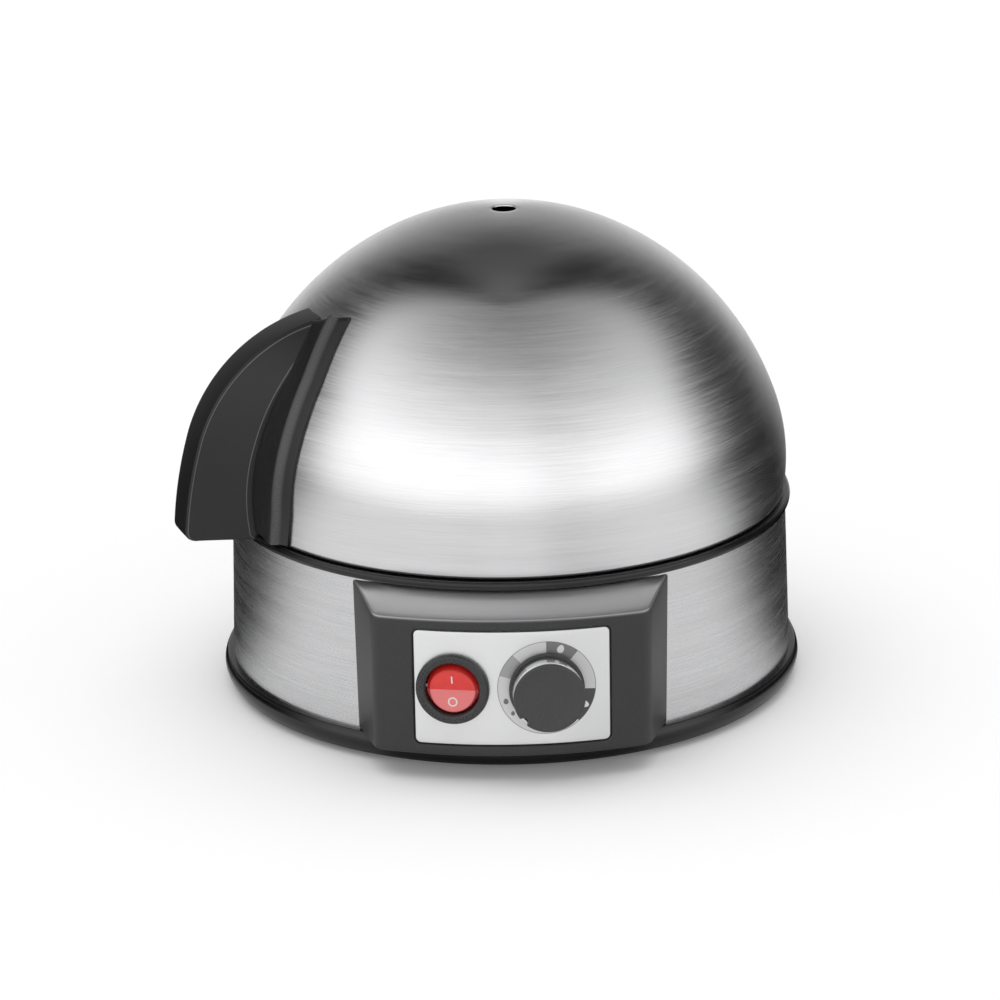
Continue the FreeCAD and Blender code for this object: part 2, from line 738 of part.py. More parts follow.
def chassis_spots():
    """Axes of the four posts and their screws, on the floor."""
    return [polar(CHASSIS_R, azimuth) for azimuth in around(CHASSIS_COUNT, CHASSIS_START)]


def band_solid(inset):
    """The band's tapered form as a solid, inset from its outer skin."""
    steps = [band_skin(BAND_LOW, inset), band_skin(BAND_TOP, inset), (0, BAND_TOP)]
    return spin((0, BAND_LOW), steps)


def panel_angle(inset):
    """Angle on the band from the middle of the housing to a line inset from its side."""
    return math.degrees(math.asin((PANEL_HALF_W - inset) / BODY_R))


def window():
    """Opening through the band and the backing frame behind the housing."""
    half = panel_angle(WINDOW_INSET)
    steps = [(PANEL_FACE_Y, WINDOW_LOW), (PANEL_FACE_Y, WINDOW_TOP), (BODY_R - PANEL_BACK, WINDOW_TOP)]
    return spin((BODY_R - PANEL_BACK, WINDOW_LOW), steps, 2 * half, -half - FULL_TURN / 4)


def panel_screw_spots():
    """Azimuths and heights of the four screws that hold the housing."""
    heights = (FRAME_LOW + PANEL_SCREW_MARGIN, FRAME_TOP - PANEL_SCREW_MARGIN)
    front = -FULL_TURN / 4
    return [(front + side * panel_angle(PANEL_SCREW_INSET), z) for side in (-1, 1) for z in heights]


def on_panel_screw(shape, spot):
    """Seats a shape on the band's outer skin, its Z axis along the radius."""
    azimuth, z = spot
    return seated(shape, polar(band_r(z), azimuth, z), polar(1, azimuth))


def body_band():
    """Tapered steel band with the window, the screw holes and the hole for the cord bush."""
    band = band_solid(0).cut(band_solid(BAND_WALL))
    hole = rod(PANEL_SCREW_R + HOLE_GAP, -OVERRUN, OVERRUN)
    tools = [window()] + [on_panel_screw(hole, spot) for spot in panel_screw_spots()]
    tools.append(on_bush(rod(BUSH_NECK_R + PIECE_GAP, -OVERRUN, OVERRUN)))
    return band.cut(tools)


def base_ring():
    """Ring at the floor with the ledge for the band, the spigot inside it and the clamped lip."""
    spigot_r = band_r(BAND_LOW + BASE_SPIGOT_H) - BAND_WALL - PIECE_GAP
    spigot_in = spigot_r - BASE_SPIGOT_T
    lip_in = PLATE_R + PIECE_GAP - BASE_LIP_W
    bulge_z = FOOT_H + BASE_BULGE_H
    top_r = BODY_R + BASE_TOP_FLARE
    shoulder = (top_r + BASE_EDGE_R, BAND_LOW - BASE_EDGE_R)
    diagonal = math.sqrt(0.5)
    edge_middle = (top_r + BASE_EDGE_R * diagonal, BAND_LOW - BASE_EDGE_R * (1 - diagonal))
    steps = [
        (BODY_R + BASE_FLOOR_FLARE, FOOT_H),
        ((BODY_R + BASE_FLARE, bulge_z), shoulder),
        (edge_middle, (top_r, BAND_LOW)),
        (spigot_r, BAND_LOW),
        (spigot_r, BAND_LOW + BASE_SPIGOT_H),
        (spigot_in, BAND_LOW + BASE_SPIGOT_H),
        (spigot_in, PLATE_TOP + BASE_LIP_T),
        (lip_in, PLATE_TOP + BASE_LIP_T),
        (lip_in, PLATE_TOP),
        (PLATE_R + PIECE_GAP, PLATE_TOP),
    ]
    return spin((PLATE_R + PIECE_GAP, FOOT_H), steps)


def base_plate():
    """Bottom cover with vent slots, screw bosses and holes for the feet."""
    plate = rod(PLATE_R, FOOT_H, PLATE_TOP)
    spots = chassis_spots()
    lip_in = PLATE_R + PIECE_GAP - BASE_LIP_W
    bosses = [rod(BOSS_R, PLATE_TOP, BOSS_TOP, spot) for spot in spots]
    room = tube(PLATE_R + OVERRUN, lip_in - PIECE_GAP, PLATE_TOP, PLATE_TOP + BASE_LIP_T + PIECE_GAP)
    plate = joined(plate, *[boss.cut(room) for boss in bosses])
    sink_top = FOOT_H + CHASSIS_HEAD_SINK + CHASSIS_HEAD_H
    tools = []
    for spot in spots:
        tools.append(rod(CHASSIS_HEAD_R + HOLE_GAP, FOOT_H - OVERRUN, sink_top, spot))
        tools.append(rod(CHASSIS_SCREW_R + HOLE_GAP, FOOT_H, BOSS_TOP + OVERRUN, spot))
    for azimuth in around(FOOT_COUNT, FOOT_START):
        tools.append(rod(FOOT_STEM_R, FOOT_H - OVERRUN, PLATE_TOP + OVERRUN, polar(FOOT_RING_R, azimuth)))
    half = VENT_W / 2
    slot = block(VENT_IN_R, VENT_IN_R + VENT_LENGTH, -half, half, FOOT_H - OVERRUN, PLATE_TOP + OVERRUN)
    for k, azimuth in enumerate(around(VENT_COUNT, 0)):
        if k not in BLOCKED_VENTS:
            tools.append(turned(slot, azimuth))
    for x in block_screw_x():
        tools.append(rod(BLOCK_SCREW_R + THREAD_GAP, FOOT_H - OVERRUN, PLATE_TOP + OVERRUN, V(x, BLOCK_Y, 0)))
    return plate.cut(tools)


BLOCKED_VENTS = tuple(k for k in range(VENT_COUNT) if abs(k - VENT_COUNT / 4) < 2)


def chassis_screws():
    """Four long screws up through the base plate into the collar's posts."""
    seat = FOOT_H + CHASSIS_HEAD_SINK + CHASSIS_HEAD_H
    one = screw(CHASSIS_SCREW_R, BOSS_TOP + CHASSIS_SCREW_BITE - seat, CHASSIS_HEAD_R, CHASSIS_HEAD_H)
    return group([moved(one, spot + V(0, 0, seat)) for spot in chassis_spots()])


def rubber_feet():
    """Four feet: a round pad, and a stem with a barb that holds in the base plate."""
    pad = rod(FOOT_R, 0, FOOT_H)
    pad = pad.makeFillet(FOOT_ROUND, [edge for edge in pad.Edges if abs(edge.CenterOfMass.z) < TOLERANCE])
    foot = joined(pad, rod(FOOT_STEM_R, 0, PLATE_TOP), rod(FOOT_BARB_R, PLATE_TOP, PLATE_TOP + FOOT_BARB_H))
    return group([moved(foot, polar(FOOT_RING_R, a)) for a in around(FOOT_COUNT, FOOT_START)])


# Pan, tray and what is clamped under the pan


def heating_pan():
    """Spun steel pan: a wide flange and a shallow bowl."""
    corner_r = PAN_R - PAN_CORNER_R
    outer = PAN_CORNER_R + PAN_WALL
    knee = PAN_FLOOR + PAN_CORNER_R
    diagonal = math.sqrt(0.5)
    steps = [
        (corner_r, PAN_UNDER),
        ((corner_r + outer * diagonal, knee - outer * diagonal), (PAN_R + PAN_WALL, knee)),
        (PAN_R + PAN_WALL, PAN_RIM_LOW),
        (PAN_FLANGE_R, PAN_RIM_LOW),
        (PAN_FLANGE_R, PAN_RIM_TOP),
        (PAN_R, PAN_RIM_TOP),
        (PAN_R, knee),
        ((corner_r + PAN_CORNER_R * diagonal, knee - PAN_CORNER_R * diagonal), (corner_r, PAN_FLOOR)),
        (0, PAN_FLOOR),
    ]
    return spin((0, PAN_UNDER), steps)


def pan_seal():
    return tube(SEAL_OUT_R, SEAL_IN_R, SHELF_TOP, PAN_RIM_LOW)


def egg_tray():
    """Moulded tray: seven egg places with lips, a skirt that stands on the pan's flange, two grips."""
    foot = PAN_RIM_TOP + REST_GAP
    top = PAN_RIM_TOP + TRAY_H
    under = top - TRAY_T
    steps = [(TRAY_R, foot), (TRAY_R, top), (0, top), (0, under), (TRAY_R - SKIRT_T, under)]
    tray = spin((TRAY_R - SKIRT_T, foot), steps)
    centres = [ORIGIN] + [polar(EGG_PITCH_R, a) for a in around(EGG_RING_COUNT, EGG_START)]
    lips = [rod(EGG_HOLE_R + EGG_LIP_T, under - EGG_LIP_H, under, centre) for centre in centres]
    grips = []
    for azimuth in (0, FULL_TURN / 2):
        web = block(GRIP_R, GRIP_R + GRIP_T, -GRIP_W / 2, GRIP_W / 2, under, top + GRIP_H)
        bar_start = V(GRIP_R + GRIP_T / 2, -GRIP_W / 2, top + GRIP_H)
        bar = Part.makeCylinder(GRIP_BAR_R, GRIP_W, bar_start, V(0, 1, 0))
        grips.append(turned(joined(web, bar), azimuth))
    tray = joined(tray, *lips, *grips)
    return tray.cut([rod(EGG_HOLE_R, under - OVERRUN, top + OVERRUN, centre) for centre in centres])


def heat_shield():
    """Dish under the pan, clamped to the collar's shelf, with holes for studs, legs and thermostat."""
    floor_top = SHIELD_LOW + SHIELD_WALL
    rim_low = SHELF_LOW - SHIELD_WALL
    steps = [
        (SHIELD_FLOOR_R + SHIELD_WALL, SHIELD_LOW),
        (SHIELD_RIM_R + SHIELD_WALL, rim_low),
        (SHIELD_FLANGE_R, rim_low),
        (SHIELD_FLANGE_R, SHELF_LOW),
        (SHIELD_RIM_R, SHELF_LOW),
        (SHIELD_FLOOR_R, floor_top),
        (SHIELD_HOLE_R, floor_top),
    ]
    dish = spin((SHIELD_HOLE_R, SHIELD_LOW), steps)
    holes = [(STUD_R + THREAD_GAP, spot) for spot in stud_spots()]
    for side in (-1, 1):
        holes.append((HEATER_TUBE_R + LEG_HOLE_GAP, heater_leg(side)))
        holes.append((FUSE_HOLE_R, V(FUSE_X, side * FUSE_HOLE_Y, 0)))
    return dish.cut([rod(radius, SHIELD_LOW - OVERRUN, floor_top + OVERRUN, spot) for radius, spot in holes])


def stud_spots():
    return [polar(STUD_RING_R, azimuth) for azimuth in around(STUD_COUNT, STUD_START)]


def pan_studs():
    tail = SHIELD_LOW - STUD_WASHER_T - NUT_H - STUD_TAIL
    one = rod(STUD_R, tail, PAN_UNDER)
    return group([moved(one, spot) for spot in stud_spots()])


def stud_washers():
    one = tube(STUD_WASHER_R, STUD_R + THREAD_GAP, SHIELD_LOW - STUD_WASHER_T, SHIELD_LOW)
    return group([moved(one, spot) for spot in stud_spots()])


def nut(across_flats, bore_r, low, high):
    return hex_prism(across_flats, low, high).cut(rod(bore_r, low - OVERRUN, high + OVERRUN))


def stud_nuts():
    high = SHIELD_LOW - STUD_WASHER_T
    one = nut(NUT_AF, STUD_R + THREAD_GAP, high - NUT_H, high)
    return group([moved(one, spot) for spot in stud_spots()])


HEATER_Z = PAN_UNDER + HEATER_FLAT - HEATER_TUBE_R


def heater_end(side):
    """Where the heater's ring ends, and the level direction in which it runs on."""
    azimuth = side * HEATER_GAP_ANGLE
    return polar(HEATER_RING_R, azimuth, HEATER_Z), polar(1, azimuth - side * FULL_TURN / 4)


def heater_leg(side):
    """Axis of a leg, on the floor."""
    end, onward = heater_end(side)
    return V(end.x + onward.x * HEATER_BEND_R, end.y + onward.y * HEATER_BEND_R, 0)


def heater_element():
    """Tubular ring pressed flat against the pan, with two ends bent down."""
    start, onward = heater_end(1)
    circle = Part.makeCircle(HEATER_TUBE_R, start, -onward)
    pieces = [Part.Face(Part.Wire(circle)).revolve(ORIGIN, UP, FULL_TURN - 2 * HEATER_GAP_ANGLE)]
    leg_top = HEATER_Z - HEATER_BEND_R
    for side in (-1, 1):
        end, onward = heater_end(side)
        face = Part.Face(Part.Wire(Part.makeCircle(HEATER_TUBE_R, end, onward)))
        bend_centre = V(end.x, end.y, leg_top)
        bend = face.revolve(bend_centre, UP.cross(onward), FULL_TURN / 4)
        pieces += [bend, rod(HEATER_TUBE_R, leg_top - HEATER_LEG_H, leg_top, heater_leg(side))]
    body = joined(*pieces)
    return body.cut(rod(HEATER_RING_R + 2 * HEATER_TUBE_R, PAN_UNDER, PAN_UNDER + OVERRUN))


def heater_pins():
    high = HEATER_Z - HEATER_BEND_R - HEATER_LEG_H
    return group([rod(HEATER_PIN_R, high - HEATER_PIN_H, high, heater_leg(side)) for side in (-1, 1)])


def thermostat():
    """Disc thermostat: a wide cap against the pan, a narrower body and two blades."""
    cap_low = PAN_UNDER - THERMOSTAT_CAP_H
    body_low = cap_low - THERMOSTAT_BODY_H
    pieces = [rod(THERMOSTAT_CAP_R, cap_low, PAN_UNDER), rod(THERMOSTAT_BODY_R, body_low, cap_low)]
    half_w = BLADE_W / 2
    half_t = BLADE_T / 2
    for side in (-1, 1):
        y = side * THERMOSTAT_BLADE_OFF
        pieces.append(block(-half_w, half_w, y - half_t, y + half_t, body_low - THERMOSTAT_BLADE_H, body_low))
    return joined(*pieces)


def strap_stud_spots():
    return [V(side * STRAP_STUD_X, 0, 0) for side in (-1, 1)]


def thermostat_strap():
    """Strap under the thermostat's cap, drawn up by two small studs."""
    high = PAN_UNDER - THERMOSTAT_CAP_H
    low = high - STRAP_T
    strap = block(-STRAP_HALF, STRAP_HALF, -STRAP_W / 2, STRAP_W / 2, low, high)
    strap = joined(strap, rod(THERMOSTAT_CAP_R + STRAP_T, low, high))
    holes = [(THERMOSTAT_BODY_R + PIECE_GAP, ORIGIN)]
    holes += [(SMALL_STUD_R + THREAD_GAP, spot) for spot in strap_stud_spots()]
    return strap.cut([rod(radius, low - OVERRUN, high + OVERRUN, spot) for radius, spot in holes])


def thermostat_studs():
    low = PAN_UNDER - THERMOSTAT_CAP_H - STRAP_T - SMALL_NUT_H - SMALL_STUD_TAIL
    return group([rod(SMALL_STUD_R, low, PAN_UNDER, spot) for spot in strap_stud_spots()])


def thermostat_nuts():
    high = PAN_UNDER - THERMOSTAT_CAP_H - STRAP_T
    one = nut(SMALL_NUT_AF, SMALL_STUD_R + THREAD_GAP, high - SMALL_NUT_H, high)
    return group([moved(one, spot) for spot in strap_stud_spots()])


def thermal_fuse():
    """Fuse in its sleeve, along Y, touching the pan."""
    start = V(FUSE_X, -FUSE_LENGTH / 2, PAN_UNDER - FUSE_R)
    return Part.makeCylinder(FUSE_R, FUSE_LENGTH, start, V(0, 1, 0))


def fuse_clip():
    """Bent strip over the fuse with two feet on the pan."""
    outer = FUSE_R + CLIP_T
    foot = outer + CLIP_FOOT
    half = CLIP_W / 2
    centre_z = PAN_UNDER - FUSE_R
    arch = Part.makeCylinder(outer, CLIP_W, V(FUSE_X, -half, centre_z), V(0, 1, 0))
    sides = block(FUSE_X - outer, FUSE_X + outer, -half, half, centre_z, PAN_UNDER)
    feet = block(FUSE_X - foot, FUSE_X + foot, -half, half, PAN_UNDER - CLIP_T, PAN_UNDER)
    hollow = Part.makeCylinder(FUSE_R, 2 * CLIP_W, V(FUSE_X, -CLIP_W, centre_z), V(0, 1, 0))
    gap = block(FUSE_X - FUSE_R, FUSE_X + FUSE_R, -CLIP_W, CLIP_W, centre_z, PAN_UNDER + OVERRUN)
    pan_room = block(FUSE_X - outer, FUSE_X + outer, -CLIP_W, CLIP_W, PAN_UNDER, PAN_UNDER + OVERRUN)
    return joined(arch, sides, feet).cut([hollow, gap, pan_room])


# Control panel


def face_y(x):
    """Depth of the housing's curved face at x."""
    return FACE_CENTRE_Y - math.sqrt(PANEL_FACE_R ** 2 - x ** 2)


def face_arc(half_width, inset=0):
    """Middle and end of the face's arc, from the right to the left, set back by inset."""
    radius = PANEL_FACE_R - inset
    end_y = FACE_CENTRE_Y - math.sqrt(radius ** 2 - half_width ** 2)
    return (half_width, end_y), ((0, FACE_CENTRE_Y - radius), (-half_width, end_y))


def housing_prism(inset, low):
    """Plan of the housing drawn up past the band's edge, with round front corners."""
    half = PANEL_HALF_W - inset
    front_half = PANEL_FRONT_HALF_W - inset
    root_y = -math.sqrt(BODY_R ** 2 - PANEL_HALF_W ** 2)
    corner, arc = face_arc(front_half, inset)
    steps = [(half, root_y), corner, arc, (-half, root_y), (-half, root_y + PANEL_BACK)]
    face = Part.Face(wire((half, root_y + PANEL_BACK), steps, level(low)))
    prism = face.extrude(V(0, 0, BAND_TOP - low))
    sharp = [edge for edge in prism.Edges if front_corner(edge, front_half, corner[1])]
    return prism.makeFillet(PANEL_CORNER_R - inset, sharp)


def front_corner(edge, half, y):
    """True for the two upright edges at the front corners of the plan."""
    middle = edge.CenterOfMass
    upright_edge = abs(edge.Vertexes[0].Z - edge.Vertexes[-1].Z) > TOLERANCE
    return upright_edge and abs(abs(middle.x) - half) < TOLERANCE and abs(middle.y - y) < TOLERANCE


def bevel_room(drop):
    """Everything under the sloping top, lowered by drop."""
    top_z = BAND_TOP - BEVEL_LOW - drop
    slope = BEVEL_DROP / PANEL_REACH
    far = PANEL_FACE_Y + OVERRUN
    steps = [(far, 0), (far, top_z - slope * (far - BODY_R)), (0, top_z + slope * BODY_R)]
    return spin((0, 0), steps)


def inlay_solid(front_inset, thickness, grow):
    """Curved slab behind the face: the silver plate, or with grow its recess."""
    half = INLAY_HALF_W + grow
    corner, arc = face_arc(PANEL_FRONT_HALF_W, front_inset)
    back_corner, back_arc = face_arc(PANEL_FRONT_HALF_W, front_inset + thickness)
    back_steps = [arc, (-back_corner[0], back_corner[1]), ((back_arc[0][0], back_arc[0][1]), back_corner)]
    slab = Part.Face(wire(corner, back_steps, level(0))).extrude(V(0, 0, BAND_TOP))
    low = INLAY_Z - grow
    high = INLAY_Z + INLAY_H + grow
    window_box = block(-half, half, -PANEL_FACE_Y - OVERRUN, 0, low, high)
    corners = [edge for edge in window_box.Edges if abs(edge.Vertexes[0].Y - edge.Vertexes[-1].Y) > TOLERANCE]
    return slab.common(window_box.makeFillet(INLAY_CORNER_R + grow, corners))


def on_panel(shape, x):
    """Seats a shape on the silver plate at x: X right, Y up, Z out of the panel."""
    turn = math.asin(x / PANEL_FACE_R)
    outward = V(math.sin(turn), -math.cos(turn), 0)
    origin = V(0, FACE_CENTRE_Y, CONTROL_Z) + outward * (PANEL_FACE_R - INLAY_RECESS + INLAY_T)
    return seated(shape, origin, outward)


def panel_housing():
    """Moulded shell with a sloping top, a curved face with a recess, and four screw posts."""
    outer = housing_prism(0, PANEL_LOW).common(bevel_room(0))
    room = housing_prism(PANEL_WALL, PANEL_LOW + PANEL_WALL).common(bevel_room(PANEL_WALL))
    shell = outer.cut(room)
    post = rod(PANEL_POST_R, 0, PANEL_POST_REACH)
    posts = [on_panel_screw(post, spot).common(outer) for spot in panel_screw_spots()]
    shell = joined(shell, *posts)
    bore = rod(PANEL_SCREW_R + THREAD_GAP, -OVERRUN, PANEL_SCREW_BITE + REST_GAP)
    tools = [on_panel_screw(bore, spot) for spot in panel_screw_spots()]
    tools += [band_solid(0), inlay_solid(-OVERRUN, OVERRUN + INLAY_RECESS, INLAY_GROOVE)]
    tools.append(on_panel(rod(SWITCH_BODY_R + SWITCH_HOLE_GAP, -OVERRUN, OVERRUN), SWITCH_X))
    tools.append(on_panel(rod(BUSHING_R + PIECE_GAP, -OVERRUN, OVERRUN), KNOB_X))
    return shell.cut(tools)


def panel_plate():
    plate = inlay_solid(INLAY_RECESS - INLAY_T, INLAY_T, 0)
    tools = [on_panel(rod(SWITCH_BODY_R + SWITCH_HOLE_GAP, -OVERRUN, OVERRUN), SWITCH_X)]
    tools.append(on_panel(rod(BUSHING_R + PIECE_GAP, -OVERRUN, OVERRUN), KNOB_X))
    return plate.cut(tools)


def panel_frame():
    """Curved backing frame inside the band, round the window."""
    outer = BAND_WALL
    inner = BAND_WALL + FRAME_T
    start = band_skin(FRAME_LOW, inner)
    steps = [band_skin(FRAME_LOW, outer), band_skin(FRAME_TOP, outer), band_skin(FRAME_TOP, inner)]
    half = panel_angle(FRAME_INSET)
    frame = spin(start, steps, 2 * half, -half - FULL_TURN / 4)
    hole = rod(PANEL_SCREW_R + HOLE_GAP, -OVERRUN, OVERRUN)
    return frame.cut([window()] + [on_panel_screw(hole, spot) for spot in panel_screw_spots()])


def panel_screws():
    """Four screws through the frame and the band into the housing's posts."""
    seat = BAND_WALL + FRAME_T + PANEL_HEAD_SEAT
    one = moved(screw(PANEL_SCREW_R, PANEL_SCREW_BITE + seat, PANEL_HEAD_R, PANEL_HEAD_H), V(0, 0, -seat))
    return group([on_panel_screw(one, spot) for spot in panel_screw_spots()])


# Switch


def switch_body():
    """Round bezel on the plate and the body behind it, open at the front for the rocker."""
    diagonal = math.sqrt(0.5)
    edge_w = BEZEL_R - BEZEL_FLAT_OUT_R
    edge_h = BEZEL_H - BEZEL_EDGE_H
    edge_middle = (BEZEL_FLAT_OUT_R + edge_w * diagonal, BEZEL_EDGE_H + edge_h * diagonal)
    steps = [
        (BEZEL_R, -BEZEL_SKIRT),
        (BEZEL_R, BEZEL_EDGE_H),
        (edge_middle, (BEZEL_FLAT_OUT_R, BEZEL_H)),
        (BEZEL_FLAT_IN_R, BEZEL_H),
        (ROCKER_OPENING_R, BEZEL_H - BEZEL_LIP_DROP),
        (ROCKER_OPENING_R, -SWITCH_CAVITY_DEPTH),
        (0, -SWITCH_CAVITY_DEPTH),
        (0, -SWITCH_BODY_DEPTH),
        (SWITCH_BODY_R, -SWITCH_BODY_DEPTH),
    ]
    body = spin((SWITCH_BODY_R, -BEZEL_SKIRT), steps)
    pin_room = Part.makeCylinder(ROCKER_PIN_R, 2 * rocker_pin_half(), V(-rocker_pin_half(), 0, 0), V(1, 0, 0))
    body = body.cut(moved(pin_room, V(0, 0, -ROCKER_PIVOT_DEPTH)))
    behind_plate = inlay_solid(INLAY_RECESS - INLAY_T, INLAY_T + BEZEL_SKIRT, INLAY_GROOVE)
    return on_panel(body, SWITCH_X).cut(behind_plate.cut(on_panel(switch_column(), SWITCH_X)))


def switch_column():
    return rod(SWITCH_BODY_R, -SWITCH_BODY_DEPTH, BEZEL_H)


def rocker_pin_half():
    return ROCKER_OPENING_R + ROCKER_PIN_SEAT


def rocker_pivot():
    return V(0, 0, -ROCKER_PIVOT_DEPTH)


def tilted(shape):
    """Turns the rocker about its pin so that its lower half is pressed in."""
    copy = shape.copy()
    copy.rotate(rocker_pivot(), V(1, 0, 0), ROCKER_TILT)
    return copy


def switch_rocker():
    """Rocker: ball-shaped sides about the pin, two faces that meet in a shallow vee."""
    rim_up = math.sqrt(ROCKER_BALL_R ** 2 - ROCKER_FACE_R ** 2)
    foot_r = math.sqrt(ROCKER_BALL_R ** 2 - ROCKER_BELOW ** 2)
    rim_z = rim_up - ROCKER_PIVOT_DEPTH
    foot_z = -ROCKER_BELOW - ROCKER_PIVOT_DEPTH
    steps = [(foot_r, foot_z), ((ROCKER_BALL_R, -ROCKER_PIVOT_DEPTH), (ROCKER_FACE_R, rim_z)), (0, rim_z)]
    body = spin((0, foot_z), steps)
    vee_depth = ROCKER_FACE_R * math.tan(math.radians(ROCKER_VEE))
    wide = ROCKER_FACE_R + OVERRUN
    high = rim_z + wide * math.tan(math.radians(ROCKER_VEE)) - vee_depth
    triangle = wire((0, rim_z - vee_depth), [(wide, high), (wide, high + OVERRUN), (-wide, high + OVERRUN),
                                             (-wide, high)], lambda a, b: V(-wide, a, b))
    body = body.cut(Part.Face(triangle).extrude(V(2 * wide, 0, 0)))
    bore_start = V(-wide, 0, -ROCKER_PIVOT_DEPTH)
    body = body.cut(Part.makeCylinder(ROCKER_PIN_R + RUN_GAP, 2 * wide, bore_start, V(1, 0, 0)))
    return on_panel(tilted(body), SWITCH_X)


def rocker_pin():
    half = rocker_pin_half()
    pin = Part.makeCylinder(ROCKER_PIN_R, 2 * half, V(-half, 0, -ROCKER_PIVOT_DEPTH), V(1, 0, 0))
    return on_panel(pin, SWITCH_X)


def blade(x, y, back, length):
    """Flat contact blade that stands out of the back of a switch or regulator."""
    return block(x - BLADE_T / 2, x + BLADE_T / 2, y - BLADE_W / 2, y + BLADE_W / 2, -back - length, -back)


def switch_blades():
    first = -(SWITCH_BLADE_COUNT - 1) / 2
    spots = [(first + k) * SWITCH_BLADE_PITCH for k in range(SWITCH_BLADE_COUNT)]
    return group([on_panel(blade(x, 0, SWITCH_BODY_DEPTH, SWITCH_BLADE_L), SWITCH_X) for x in spots])


# Knob and regulator


def knob_core():
    """Dark knob: flange, drum with a thick face, hub inside, and a notch that points to the dial."""
    base = KNOB_LIFT
    top = KNOB_LIFT + KNOB_H
    flange_top = base + KNOB_FLANGE_H
    hollow_top = top - KNOB_FACE_T
    steps = [
        (KNOB_FLANGE_R, base),
        (KNOB_FLANGE_R, flange_top),
        (KNOB_CORE_R, flange_top),
        (KNOB_CORE_R, top - KNOB_EDGE),
        (KNOB_CORE_R - KNOB_EDGE, top),
        (0, top),
        (0, hollow_top),
        (KNOB_HOLLOW_R, hollow_top),
    ]
    core = spin((KNOB_HOLLOW_R, base), steps)
    core = joined(core, rod(KNOB_HUB_R, base + KNOB_HUB_LIFT, hollow_top))
    core = core.cut(shaft_solid(RUN_GAP, -OVERRUN, shaft_top() + SHAFT_END_GAP))
    pointer = math.radians(FULL_TURN / 4 - KNOB_POINTER)
    centre = V(math.cos(pointer), math.sin(pointer), 0) * (KNOB_CORE_R + KNOB_NOTCH_R - KNOB_NOTCH_IN)
    core = core.cut(rod(KNOB_NOTCH_R, top - KNOB_SLEEVE_END, top + OVERRUN, centre))
    return on_panel(core, KNOB_X)


def knob_sleeve():
    """Silvery sleeve pushed over the drum down to its flange."""
    low = KNOB_LIFT + KNOB_FLANGE_H
    return on_panel(tube(KNOB_SLEEVE_R, KNOB_CORE_R, low, KNOB_LIFT + KNOB_H - KNOB_SLEEVE_END), KNOB_X)


def shaft_top():
    return KNOB_LIFT + KNOB_H - KNOB_FACE_T - SHAFT_END_GAP


def shaft_solid(grow, low, high):
    """Round shaft with a flat along its end, on which the knob sits."""
    shaft = rod(SHAFT_R + grow, low, high)
    flat_y = SHAFT_R - SHAFT_FLAT + grow
    flat_low = KNOB_LIFT + KNOB_HUB_LIFT - SHAFT_END_GAP
    wide = 2 * SHAFT_R
    return shaft.cut(block(-wide, wide, flat_y, wide, flat_low, high + OVERRUN))


def regulator_front():
    """Depth of the regulator's flat front, whose sides meet the curved wall of the housing."""
    sag = REGULATOR_W ** 2 / (8 * PANEL_FACE_R)
    return INLAY_T + PANEL_WALL - INLAY_RECESS + sag + PIECE_GAP


def regulator_shaft():
    return on_panel(shaft_solid(0, -regulator_front() - SHAFT_INNER, shaft_top()), KNOB_X)


def regulator_body():
    """Boxed regulator with room for the shaft's inner end and the bushing's root."""
    front = -regulator_front()
    half_w = REGULATOR_W / 2
    half_h = REGULATOR_H / 2
    body = block(-half_w, half_w, -half_h, half_h, front - REGULATOR_D, front)
    shaft_room = rod(SHAFT_R + RUN_GAP, front - SHAFT_INNER - SHAFT_END_GAP, front + OVERRUN)
    return on_panel(body.cut([shaft_room, rod(BUSHING_R, front - BUSHING_ROOT, front + OVERRUN)]), KNOB_X)


def regulator_bushing():
    low = -regulator_front() - BUSHING_ROOT
    return on_panel(tube(BUSHING_R, SHAFT_R + RUN_GAP, low, BUSHING_PROUD), KNOB_X)


def regulator_nut():
    high = REGULATOR_NUT_SEAT + REGULATOR_NUT_H
    return on_panel(nut(REGULATOR_NUT_AF, BUSHING_R + THREAD_GAP, REGULATOR_NUT_SEAT, high), KNOB_X)


def regulator_blades():
    back = regulator_front() + REGULATOR_D
    spots = (-REGULATOR_BLADE_X, REGULATOR_BLADE_X)
    return group([on_panel(blade(x, 0, back, REGULATOR_BLADE_L), KNOB_X) for x in spots])


# Mains connection


def on_bush(shape):
    """Seats a shape on the band at the back, its Z axis pointing out."""
    return seated(shape, V(0, band_r(BUSH_Z), BUSH_Z), V(0, 1, 0))


def cord_bush():
    """Strain-relief bush in the band: flange outside, lug inside, bore for the mains cord."""
    grip = BAND_WALL + PIECE_GAP
    lug = grip + BUSH_LUG_T
    start = (CORD_BORE_R, -lug - BUSH_INNER_L)
    steps = [
        (BUSH_TIP_R, -lug - BUSH_INNER_L),
        (BUSH_NECK_R, -lug),
        (BUSH_LUG_R, -lug),
        (BUSH_LUG_R, -grip),
        (BUSH_NECK_R, -grip),
        (BUSH_NECK_R, -BAND_WALL),
        (BUSH_FLANGE_R, -BAND_WALL),
        (BUSH_FLANGE_R, BUSH_FLANGE_T / 2),
        (BUSH_FLANGE_R - BUSH_FLANGE_T / 2, BUSH_FLANGE_T),
        (BUSH_NECK_R, BUSH_FLANGE_T),
        (BUSH_TIP_R, BUSH_FLANGE_T + BUSH_OUTER_L),
        (CORD_BORE_R, BUSH_FLANGE_T + BUSH_OUTER_L),
    ]
    bush = on_bush(spin(start, steps))
    wall = band_solid(0).cut([band_solid(BAND_WALL), on_bush(rod(BUSH_NECK_R, -OVERRUN, OVERRUN))])
    lug_room = on_bush(tube(BUSH_FLANGE_R + OVERRUN, BUSH_LUG_R, -lug - BUSH_INNER_L, -grip))
    return bush.cut([wall, lug_room])


